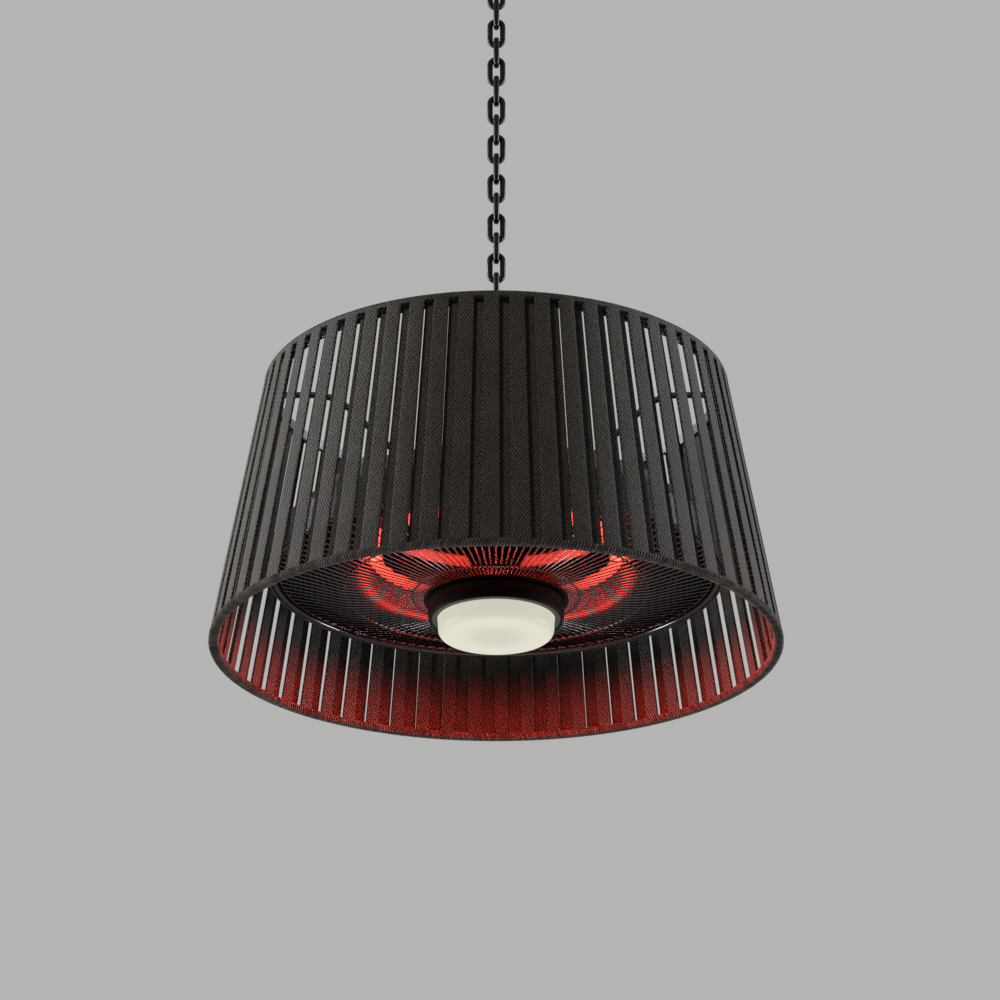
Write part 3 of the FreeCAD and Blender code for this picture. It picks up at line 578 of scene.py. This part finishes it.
tube_ring = 0.113
tube_radius = 0.005
tube_end = 9.15
tube_turn = 180 - 2 * tube_end
tube_low, tube_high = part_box("heating_tube_right")
tube_z = (tube_low.z + tube_high.z) / 2
tube_length = tube_ring * math.radians(tube_turn)
coil_turns = 90
coil_radius = 0.0027
coil_wire = 0.0006
coil_end = 2


def along_sleeve(tree):
    spread = put(tree, "ShaderNodeUVMap", uv_map="UVMap").outputs[0]
    return calc("DIVIDE", parts_of(spread)[1], tube_length)


def along_wire(tree):
    return put(tree, "ShaderNodeAttribute", attribute_name="run").outputs["Fac"]


quartz, surface = glowing("quartz_sleeve", along_sleeve, ends=0.025, seen=1.7, thrown=34.0)
feed(surface, {"Base Color": (0.12, 0.02, 0.015, 1.0), "Roughness": 0.08, "Alpha": 0.55})
red_wire, surface = glowing("glowing_wound_wire", along_wire, ends=0.05, seen=5.0, thrown=60.0)
feed(surface, {"Base Color": (0.05, 0.02, 0.015, 1.0), "Roughness": 0.6})
coil_tree, given = new_tree(
    "wound_wire", turns=int, ring=float, start=float, sweep=float, level=float, coil=float, wire=float,
    finish=bpy.types.Material)
turn_steps = 10.0
last = times(given["turns"], turn_steps)
line = shape(coil_tree, "MeshLine", {"Count": plus(last, 1.0)})
run = calc("DIVIDE", shape(coil_tree, "InputIndex"), last)
line = noted(line, "run", run, "POINT")
bearing = plus(given["start"], times(run, given["sweep"]))
wound = times(run, given["turns"], 2 * math.pi)
reach = plus(given["ring"], times(calc("COSINE", wound), given["coil"]))
level = plus(given["level"], times(calc("SINE", wound), given["coil"]))
spot = xyz(times(reach, calc("COSINE", bearing)), times(reach, calc("SINE", bearing)), level)
line = shape(coil_tree, "SetPosition", {"Geometry": line, "Position": spot})
line = shape(coil_tree, "MeshToCurve", {0: line})
finish_tree(coil_tree, wired(line, given["wire"], sides=5, capped=True), given["finish"])
for name, start in (("right", -90 + tube_end), ("left", 90 + tube_end)):
    path = arc(Vector((0, 0, tube_z)), tube_ring, start, start + tube_turn, 72, right, away)
    tube = swept("quartz_tube_" + name, path, tube_radius, up)
    fit(tube, "heater", "glowing_quartz", quartz, "heating_tube_" + name)
    coil = grown("wound_wire_" + name, coil_tree, turns=coil_turns, ring=tube_ring,
                 start=math.radians(start + coil_end), sweep=math.radians(tube_turn - 2 * coil_end),
                 level=tube_z, coil=coil_radius, wire=coil_wire, finish=red_wire)
    fit(coil, "heater", "glowing_quartz", red_wire)
dark_ceramic = coated("dark_ceramic", (0.003, 0.0028, 0.0026), roughness=0.8, peel=0.00012, specular=0.1)
dress(dark_ceramic, "tube_holder_front", "tube_holder_back")
dress(plain_steel, "tube_clip_right", "tube_clip_left")


# Guard: wires of dark plated steel welded on a pressed hub and under three hoops, in a shallow dish.
# They run from the lamp out to a rolled bead that snaps into the housing's rim.
# The hub has the lamp's black paint, and the bead is polished black.
def rise(distance, start, start_level, end, end_level):
    """Level at a distance from the axis, on the straight line through two places."""
    slope = calc("DIVIDE", minus(end_level, start_level), minus(end, start))
    return plus(start_level, times(minus(distance, start), slope))


def ringed(part, count, phase=0.0):
    """Copies of a part set about the upright axis, and the number of each."""
    tree = part.id_data
    places = shape(tree, "MeshLine", {"Count": count, "Offset": (0, 0, 0)})
    number = shape(tree, "InputIndex")
    spin = xyz(z=plus(phase, calc("DIVIDE", times(number, 2 * math.pi), count)))
    return shape(tree, "InstanceOnPoints", {"Points": places, "Instance": part, "Rotation": spin}), number


guard_tree, given = new_tree(
    "wire_guard", wires=int, wire=float, hoop=float, root=float, root_level=float, hub=float, inner=float,
    mid=float, mid_level=float, edge=float, edge_level=float, finish=bpy.types.Material)
wire_steps = 20
step = calc("DIVIDE", minus(given["edge"], given["root"]), float(wire_steps))
line = shape(guard_tree, "MeshLine", {
    "Count": wire_steps + 1, "Start Location": xyz(given["root"]), "Offset": xyz(step)})
across = parts_of(shape(guard_tree, "InputPosition"))[0]
inner_run = (given["hub"], given["root_level"], given["mid"], given["mid_level"])
outer_run = (given["mid"], given["mid_level"], given["edge"], given["edge_level"])
bent = calc("MAXIMUM", rise(across, *inner_run), rise(across, *outer_run))
bent = calc("MAXIMUM", bent, given["root_level"])
line = shape(guard_tree, "SetPosition", {"Geometry": line, "Offset": xyz(z=bent)})
line = shape(guard_tree, "MeshToCurve", {0: line})
bars, _ = ringed(wired(line, given["wire"], sides=8, capped=True), given["wires"])
everything = put(guard_tree, "GeometryNodeJoinGeometry", {0: bars})
for place, slant in (("inner", inner_run), ("mid", inner_run), ("edge", outer_run)):
    circle = shape(guard_tree, "CurvePrimitiveCircle", {"Resolution": 144, "Radius": given[place]})
    lift = xyz(z=plus(rise(given[place], *slant), plus(given["hoop"], given["wire"])))
    circle = shape(guard_tree, "Transform", {"Geometry": circle, "Translation": lift})
    feed(everything, {0: wired(circle, given["hoop"], sides=10)})
finish_tree(guard_tree, everything.outputs[0], given["finish"])
guard_low, guard_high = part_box("guard")
guard_wire = 0.00075
guard_steel = coated("bright_guard_wire", (0.12, 0.12, 0.122), roughness=0.24, peel=0.00001, metallic=1.0)
hub_hole = 0.040
hub_radius = 0.066
hub_edge = 0.0005
hub_z = guard_low.z + 0.0015
guard = grown("guard_wires", guard_tree, wires=120, wire=guard_wire, hoop=0.0011, root=0.058,
              root_level=hub_z + guard_wire, hub=0.0645, inner=0.076, mid=0.139, mid_level=foot_z + 0.0548,
              edge=guard_high.x - 0.001, edge_level=foot_z + 0.0699, finish=guard_steel)
fit(guard, "heater", "guard_steel", guard_steel,
    "guard", "guard_inner_hoop", "guard_mid_hoop", "guard_edge_hoop")
hub = turned("guard_hub", (
    (hub_hole, guard_low.z, 0), (hub_radius, guard_low.z, hub_edge), (hub_radius, hub_z, hub_edge),
    (hub_hole, hub_z, 0),
), steps=96)
bead_low, bead_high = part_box("guard_bead")
bead_radius = (bead_high.z - bead_low.z) / 2
bead_steps = 180
bead_ring = bead_high.x - bead_radius
bead_centre = Vector((0, 0, bead_low.z + bead_radius))
bead_path = arc(bead_centre, bead_ring, 0, 360 - 360 / bead_steps, bead_steps - 1, right, away)
bead = swept("guard_rim_bead", bead_path, bead_radius, up, closed=True, sides=14)
bead_black = coated(
    "polished_black_bead", (0.004, 0.004, 0.0043), roughness=0.14, peel=0.000005, specular=0.6)
lamp_black = coated(
    "lamp_black_paint", (0.0009, 0.0009, 0.0008), roughness=0.5, peel=0.00002, specular=0.08)
fit(hub, "heater", "black_enamel", lamp_black)
fit(bead, "heater", "black_enamel", bead_black, "guard_bead")


# Lamp: a sooty black, flared post through the reflector carries a black drum with an opal cup in its mouth.
# A dark painted ring covers the cup's flange; its olive tone is partly painted light, the lamp's warm glow
# on it. The board behind it is pale, and the opal plastic glows.
post_low, post_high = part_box("lamp_post")
post_bore = 0.013
post_neck = 0.016
post = turned("flared_post", (
    (post_bore, post_low.z, 0), (0.050, post_low.z, 0), (0.030, post_low.z + 0.003, 0.004),
    (post_neck, post_low.z + 0.006, 0.003), (post_neck, foot_z + 0.072, 0.02), (0.027, foot_z + 0.092, 0.02),
    (0.040, post_high.z, 0), (post_bore, post_high.z, 0),
), steps=72)
sooty_black = coated("post_sooty_black", (0.0009, 0.0009, 0.0008), roughness=0.9, peel=0.00002, specular=0.0)
fit(post, "heater", "black_enamel", sooty_black, "lamp_post")
drum_low, drum_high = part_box("lamp_housing")
drum_wall = 0.0025
drum_foot = 0.0613
drum = turned("lamp_drum", (
    (0.0, drum_high.z - drum_wall, 0), (drum_high.x - drum_wall, drum_high.z - drum_wall, 0.001),
    (drum_foot - drum_wall, drum_low.z, 0.0008), (drum_foot, drum_low.z, 0.0012),
    (drum_high.x, drum_high.z, 0.0025), (0.0, drum_high.z, 0),
), steps=128)
fit(drum, "heater", "black_enamel", lamp_black, "lamp_housing")
board_lacquer = coated("lamp_board_lacquer", (0.7, 0.7, 0.68), roughness=0.4, peel=0.00002)
dress(board_lacquer, "lamp_board")
opal_low, opal_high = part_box("lamp_diffuser")
opal_seat = opal_high.z - 0.002
opal_foot = 0.0523
opal_top = 0.0533
opal_wall = 0.002
opal = turned("opal_diffuser_cup", (
    (0.0, opal_low.z, 0), (opal_foot, opal_low.z, 0.007), (opal_top, opal_seat, 0),
    (opal_high.x, opal_seat, 0), (opal_high.x, opal_high.z, 0), (opal_top - opal_wall, opal_high.z, 0),
    (opal_foot - opal_wall, opal_low.z + opal_wall, 0.005), (0.0, opal_low.z + opal_wall, 0),
), steps=128)
bezel_gap = 0.0004
bezel_low, bezel_high = drum_low.z + bezel_gap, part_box("lamp_bezel")[1].z
bezel_inner, bezel_outer = opal_top + bezel_gap, drum_foot - drum_wall - bezel_gap
bezel = turned("painted_bezel_ring", (
    (bezel_inner, bezel_low, 0), (bezel_outer, bezel_low, 0), (bezel_outer, bezel_high, 0),
    (bezel_inner, bezel_high, 0),
), steps=128)
# Olive tone: dark paint with painted light, the lamp's warm glow, mixed into its colour.
lamp_tinted_ring_paint = coated("bezel_paint_lamp_tinted", (0.060, 0.056, 0.032), roughness=0.5, peel=0.00003)
fit(bezel, "heater", "lamp_bezel_paint", lamp_tinted_ring_paint, "lamp_bezel")
opal_plastic, surface = new_material("opal_lamp_plastic")
across = from_axis(surface)
middle_glow = ranged(across, 0.010, 0.038, 0.60, 0.70, "SMOOTHSTEP")
side_glow = ranged(across, 0.047, 0.0522, 1.0, 0.86, "SMOOTHSTEP")
feed(surface, {
    "Emission Strength": times(middle_glow, side_glow), "Emission Color": (1.0, 0.977, 0.815, 1.0),
    "Base Color": (0.06, 0.058, 0.048, 1.0), "Specular IOR Level": 0.15, "Roughness": 0.45})
fit(opal, "heater", "opal_diffuser", opal_plastic, "lamp_diffuser")


# Shade: stiff woven strips in two layers, the inner ones behind the gaps of the outer ones, on two rims.
# Thick charcoal yarn in a broken twill, pressed flat and bound round the upper and lower edge.
def woven(name):
    """Crepe cloth: two crossing slants of yarn, now one on top and now the other; darker in the pits as
    painted shade, lighter on the crests as painted light.
    """
    material, surface = new_material(name)
    tree = surface.id_data
    x, y, _ = parts_of(put(tree, "ShaderNodeUVMap", uv_map="UVMap").outputs[0])
    seed = put(tree, "ShaderNodeAttribute", attribute_name="weave_seed").outputs["Fac"]
    place = xyz(x, y, times(seed, 5.0))
    shift = times(minus(noise(place, scale=330.0, detail=2.0), 0.5), yarn_waver)
    region = ranged(noise(place, scale=120.0, detail=1.0), 0.38, 0.62, 0.0, 1.0)
    upward = times(y, yarn_steep)
    crests = []
    for way, weight in (("ADD", region), ("SUBTRACT", minus(1.0, region))):
        along = plus(calc(way, x, upward), shift)
        wave = calc("SINE", times(along, 2 * math.pi / yarn_pitch))
        crests.append(times(plus(wave, 1.0), plus(yarn_under, times(weight, 1 - yarn_under))))
    over = times(calc("MAXIMUM", *crests), 0.5)
    fibre = noise(place, scale=620.0, detail=3.0)
    height = plus(times(over, 0.8), times(fibre, 0.4))
    # Colour by height: painted shade in the pits between yarns, painted light on the yarn crests.
    tone = put(tree, "ShaderNodeValToRGB", {0: height})
    ramp = tone.color_ramp
    for stop, colour in ((0.36, hollow_shade_colour), (0.68, yarn_colour), (0.98, crest_light_colour)):
        mark = ramp.elements.new(stop)
        mark.color = colour + (1.0,)
    ramp.elements.remove(ramp.elements[0])
    ramp.elements.remove(ramp.elements[-1])
    worn = ranged(noise(place, scale=24.0, detail=3.0), 0.3, 0.7, 0.86, 1.14)
    final = put(tree, "ShaderNodeVectorMath", {0: tone.outputs[0], 1: worn}, operation="MULTIPLY").outputs[0]
    feed(surface, {
        "Base Color": final, "Normal": bumped(height, yarn_relief, strength=1.0), "Roughness": 0.85,
        "Specular IOR Level": 0.1, "Sheen Weight": 0.13, "Sheen Roughness": 0.45})
    return material


def blunt(value, power):
    """Squared-off sine or cosine, for a flat section with round edges."""
    return times(calc("SIGN", value), calc("POWER", calc("ABSOLUTE", value), power))


def drawn(number, seed):
    """Random draw for each number."""
    return put(number.id_data, "FunctionNodeRandomValue", {"ID": number, "Seed": seed}).outputs[1]


yarn_pitch = 0.0029
yarn_steep = 0.62
yarn_waver = 0.0034
yarn_under = 0.62
yarn_relief = 0.0007
# Painted shade and light: hollow_shade_colour darkens the pits between yarns, crest_light_colour lightens
# the yarn crests.
hollow_shade_colour = (0.0014, 0.0012, 0.0011)
yarn_colour = (0.033, 0.028, 0.0235)
crest_light_colour = (0.058, 0.050, 0.043)
charcoal = woven("charcoal_broken_twill")
shade_low, shade_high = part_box("shade")
shade_rise = shade_high.z - shade_low.z
shade_foot = shade_high.x
shade_head = shade_foot - 0.045
shade_wall = 0.009
slope = (shade_foot - shade_head) / shade_rise
layer = 0.0024
strips = 61
strip_foot = 0.0055
strip_head = 0.003
strip_tree, given = new_tree(
    "woven_strips", strips=int, share=float, phase=float, inset=float, thick=float, foot=float, head=float,
    base=float, rise=float, low=float, high=float, seed=int, cloth=bpy.types.Material)
last_row = 33
hem = 0.0005
grid = put(strip_tree, "GeometryNodeMeshGrid", {
    "Size X": 1.0, "Size Y": 1.0, "Vertices X": 25, "Vertices Y": last_row + 1})
x, y, _ = parts_of(grid.outputs["UV Map"])
turn = times(x, -2 * math.pi)
across = blunt(calc("COSINE", turn), 0.4)
inside = times(calc("GREATER_THAN", y, 0.001), calc("LESS_THAN", y, 0.999))
depth = times(blunt(calc("SINE", turn), 0.3), inside)
length = minus(minus(given["high"], given["low"]), 2 * hem)
share_up = ranged(y, 2 / last_row, 1 - 2 / last_row, 0.0, 1.0)
over_hem = plus(calc("GREATER_THAN", y, 1.5 / last_row), calc("GREATER_THAN", y, 1 - 1.5 / last_row))
level = plus(given["low"], times(over_hem, hem), times(share_up, length))
lean = calc("DIVIDE", minus(level, given["base"]), given["rise"])
wall = minus(given["foot"], times(lean, minus(given["foot"], given["head"])))
bulge = times(depth, calc("DIVIDE", given["thick"], 2.0))
reach = plus(minus(wall, given["inset"]), bulge)
half_angle = calc("DIVIDE", times(given["share"], math.pi), given["strips"])
swing = times(across, half_angle)
spot = xyz(times(reach, calc("SINE", swing)), times(reach, calc("COSINE", swing), -1.0), level)
strip = noted(grid.outputs[0], "UVMap", xyz(times(swing, reach), level), "CORNER", "FLOAT2")
strip = shape(strip_tree, "SetPosition", {"Geometry": strip, "Position": spot})
strip = shape(strip_tree, "MergeByDistance", {"Geometry": strip, "Distance": 0.00004})
ring, number = ringed(strip, given["strips"], given["phase"])
ring = noted(ring, "weave_seed", drawn(number, given["seed"]), "INSTANCE")
finish_tree(strip_tree, ring, given["cloth"])
pitch = 2 * math.pi / strips
first_gap = math.radians(1.9)
for label, share, phase, inset, seed, nodes in (
    ("outer_strips", 0.61, first_gap + pitch / 2, layer / 2, 3, ("shade",)),
    ("inner_strips", 0.49, first_gap, shade_wall - layer / 2, 8, ()),
):
    piece = grown("shade_" + label, strip_tree, strips=strips, share=share, phase=phase, inset=inset,
                  thick=layer, foot=shade_foot, head=shade_head, base=shade_low.z, rise=shade_rise,
                  low=shade_low.z + strip_foot, high=shade_high.z - strip_head, seed=seed, cloth=charcoal)
    fit(piece, "heater", "charcoal_weave", charcoal, *nodes)
binding_tree, given = new_tree(
    "bound_rim", turns=int, yarn=float, radius=float, level=float, half_wide=float, half_tall=float,
    lean=float, slant=float, cloth=bpy.types.Material)
bluntness = 0.55
turn = shape(binding_tree, "CurvePrimitiveCircle", {"Resolution": 14, "Radius": 1.0})
x, y, _ = parts_of(shape(binding_tree, "InputPosition"))
tall = times(blunt(y, bluntness), given["half_tall"])
wide = minus(times(blunt(x, bluntness), given["half_wide"]), times(tall, given["lean"]))
laid = xyz(times(y, given["slant"]), times(plus(given["radius"], wide), -1.0), plus(given["level"], tall))
turn = shape(binding_tree, "SetPosition", {"Geometry": turn, "Position": laid})
whip, number = ringed(wired(turn, given["yarn"], sides=5), given["turns"])
whip = noted(whip, "yarn_tone", drawn(number, 5), "INSTANCE")
finish_tree(binding_tree, whip, given["cloth"])
rim_dark = (0.003, 0.0026, 0.0023, 1)
rim_pale = (0.105, 0.093, 0.081, 1)
rim_yarn, surface = new_material("charcoal_rim_yarn")
fuzz = noise(spot_on(surface), scale=1400.0, detail=3.0)
tone = put(surface.id_data, "ShaderNodeAttribute", attribute_name="yarn_tone").outputs["Fac"]
paleness = plus(times(tone, 0.6), times(fuzz, 0.5))
feed(surface, {
    "Base Color": blend(paleness, rim_dark, rim_pale), "Normal": bumped(fuzz, depth=0.0004, strength=1.0),
    "Roughness": 0.9, "Specular IOR Level": 0.2})


def shade_at(level):
    """Radius of the shade's outer face at a level."""
    return shade_foot - (level - shade_low.z) * slope


band_edge = 0.0008
band_round = 0.0005
for label, low, high, inset, turns, bound_tall, yarn in (
    ("foot", shade_low.z, shade_low.z + 0.0065, 0.0010, 580, 0.007, 0.00075),
    ("head", shade_high.z - 0.006, shade_high.z, 0.0001, 520, 0.004, 0.0006),
):
    low_radius, high_radius = shade_at(low), shade_at(high)
    base, top = (low + band_edge, high) if label == "foot" else (low, high - band_edge)
    band = turned("shade_%s_band" % label, (
        (low_radius - inset, base, band_round), (high_radius - inset, top, band_round),
        (high_radius - shade_wall + inset, top, band_round),
        (low_radius - shade_wall + inset, base, band_round),
    ), steps=244)
    for loop in band.data.uv_layers[0].data:
        loop.uv.x *= 2 * math.pi * low_radius
    fit(band, "heater", "charcoal_weave", charcoal)
    bound_level = low + bound_tall / 2 if label == "foot" else high - bound_tall / 2
    bound = grown("shade_%s_binding" % label, binding_tree, turns=turns, yarn=yarn, level=bound_level,
                  radius=shade_at(bound_level) - shade_wall / 2, half_wide=shade_wall / 2 - yarn / 2,
                  half_tall=bound_tall / 2 - yarn, lean=slope, slant=0.0016, cloth=rim_yarn)
    fit(bound, "heater", "charcoal_weave", rim_yarn)


# Spider: a flat steel hoop inside the shade's upper edge and four bent rods down to a ring on the stem.
# The rods are welded to both, and the whole is painted with the housing.
hoop_metal = 0.0025
hoop_depth = 0.009
hoop_gap = 0.0003
hoop_edge = 0.0006
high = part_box("shade_spider")[1].z
low = high - hoop_depth
low_radius, high_radius = (shade_at(level) - shade_wall - hoop_gap for level in (low, high))
hoop = turned("spider_hoop", (
    (low_radius, low, hoop_edge), (high_radius, high, hoop_edge),
    (high_radius - hoop_metal, high, hoop_edge), (low_radius - hoop_metal, low, hoop_edge),
), steps=144)
seat_z = cover_high.z
ring_radius = 0.020
ring_top = seat_z + 0.007
boss = turned("spider_boss", (
    (stem_bore, seat_z, 0), (ring_radius, seat_z, 0.0005), (ring_radius, ring_top, 0.0015),
    (stem_bore, ring_top, 0),
), steps=48)
rod = 0.003
rod_bend = 0.02
rod_high = (low + high) / 2
rod_low = seat_z + rod + hoop_gap
rod_end = (low_radius + high_radius) / 2 - hoop_metal / 2
rod_corners = ((rod_end, rod_high), (0.150, rod_high), (0.066, rod_low), (0.017, rod_low))
arms = []
for quarter in range(4):
    out = Vector((math.cos(quarter * math.pi / 2), math.sin(quarter * math.pi / 2), 0))
    corners = [out * reach + up * level for reach, level in rod_corners]
    path = corners[:1]
    for before, corner, after in zip(corners, corners[1:], corners[2:]):
        start = corner + (before - corner).normalized() * rod_bend
        end = corner + (after - corner).normalized() * rod_bend
        path += [start.lerp(corner, t).lerp(corner.lerp(end, t), t) for t in (0, 0.2, 0.4, 0.6, 0.8, 1)]
    arms.append(swept("spider_arm_%d" % quarter, path + corners[-1:], rod, out.cross(up), sides=12))
fit(joined("welded_spider", hoop, boss, *arms), "heater", "black_enamel", satin_black, "shade_spider")


# Studio: a pale floor far below, a pale surround, a soft key from the front left and two soft sides.
# A red disc at the tubes, for the cloth alone, stands for the glow that the reflector throws on it.
# The camera stands below the heater and looks up at it, as the photograph does.
floor_z = -4.2
floor_low = floor_z - 0.02
floor_radius = 9.0
floor = turned("studio_floor", (
    (0.0, floor_low, 0), (floor_radius, floor_low, 0), (floor_radius, floor_z, 0), (0.0, floor_z, 0),
), steps=64)
floor_paint, surface = new_material("pale_floor_paint")
feed(surface, {"Base Color": (0.80, 0.80, 0.79, 1.0), "Roughness": 0.7})
floor.data.materials.append(floor_paint)
scene = bpy.context.scene
scene.view_settings.view_transform = "Standard"
world = bpy.data.worlds.new("pale_surround")
world.use_nodes = True
scene.world = world
tree = world.node_tree
tree.nodes.clear()
rays = put(tree, "ShaderNodeLightPath").outputs
shown = calc("MAXIMUM", rays["Is Glossy Ray"], rays["Is Transmission Ray"])
shown = calc("MAXIMUM", rays["Is Camera Ray"], shown)
soft = put(tree, "ShaderNodeBackground", {"Color": (0.95, 0.97, 1.0, 1.0), "Strength": 0.20}).outputs[0]
pale = put(tree, "ShaderNodeBackground", {"Color": (0.46, 0.46, 0.45, 1.0), "Strength": 1.0}).outputs[0]
mixed = put(tree, "ShaderNodeMixShader", {0: shown, 1: soft, 2: pale}).outputs[0]
put(tree, "ShaderNodeOutputWorld", {0: mixed})
heater_middle = Vector((0, 0, foot_z + 0.12))
for name, spot, wide, tall, power, colour in (
    ("key_light", (-1.23, -2.05, 1.19), 0.5, 0.5, 56.0, (1.0, 0.94, 0.87)),
    ("left_side_light", (-2.3, 0.5, -0.45), 0.6, 2.6, 165.0, (0.92, 0.96, 1.0)),
    ("right_side_light", (2.3, 0.5, -0.45), 0.6, 2.6, 135.0, (0.92, 0.96, 1.0)),
):
    lamp = bpy.data.lights.new(name, "AREA")
    lamp.shape = "RECTANGLE"
    lamp.size = wide
    lamp.size_y = tall
    lamp.energy = power
    lamp.color = colour
    holder = bpy.data.objects.new(name, lamp)
    holder.location = spot
    holder.rotation_euler = (heater_middle - Vector(spot)).to_track_quat("-Z", "Y").to_euler()
    holder.visible_glossy = name != "key_light"
    scene.collection.objects.link(holder)
lit_pieces = bpy.data.collections.new("lit_pieces")
for piece in scene.collection.objects:
    if piece.name.startswith("shade_"):
        lit_pieces.objects.link(piece)
thrown = bpy.data.objects.new("thrown_red_light", bpy.data.lights.new("thrown_red_light", "AREA"))
thrown.data.shape = "DISK"
thrown.data.size = 0.18
thrown.data.spread = math.radians(155)
thrown.data.energy = 32.0
thrown.data.color = (1.0, 0.05, 0.025)
thrown.location.z = tube_z
thrown.visible_camera = False
thrown.light_linking.receiver_collection = lit_pieces
scene.collection.objects.link(thrown)
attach(thrown, "heater")
camera_tilt = 22.39
camera = bpy.data.objects.new("photo_camera", bpy.data.cameras.new("photo_camera"))
camera.location = (0.0035, -3.1855, -1.9072)
camera.rotation_euler = (math.radians(90 + camera_tilt), 0, 0)
camera.data.sensor_width = 36.0
camera.data.lens = 134.935
scene.collection.objects.link(camera)
scene.camera = camera
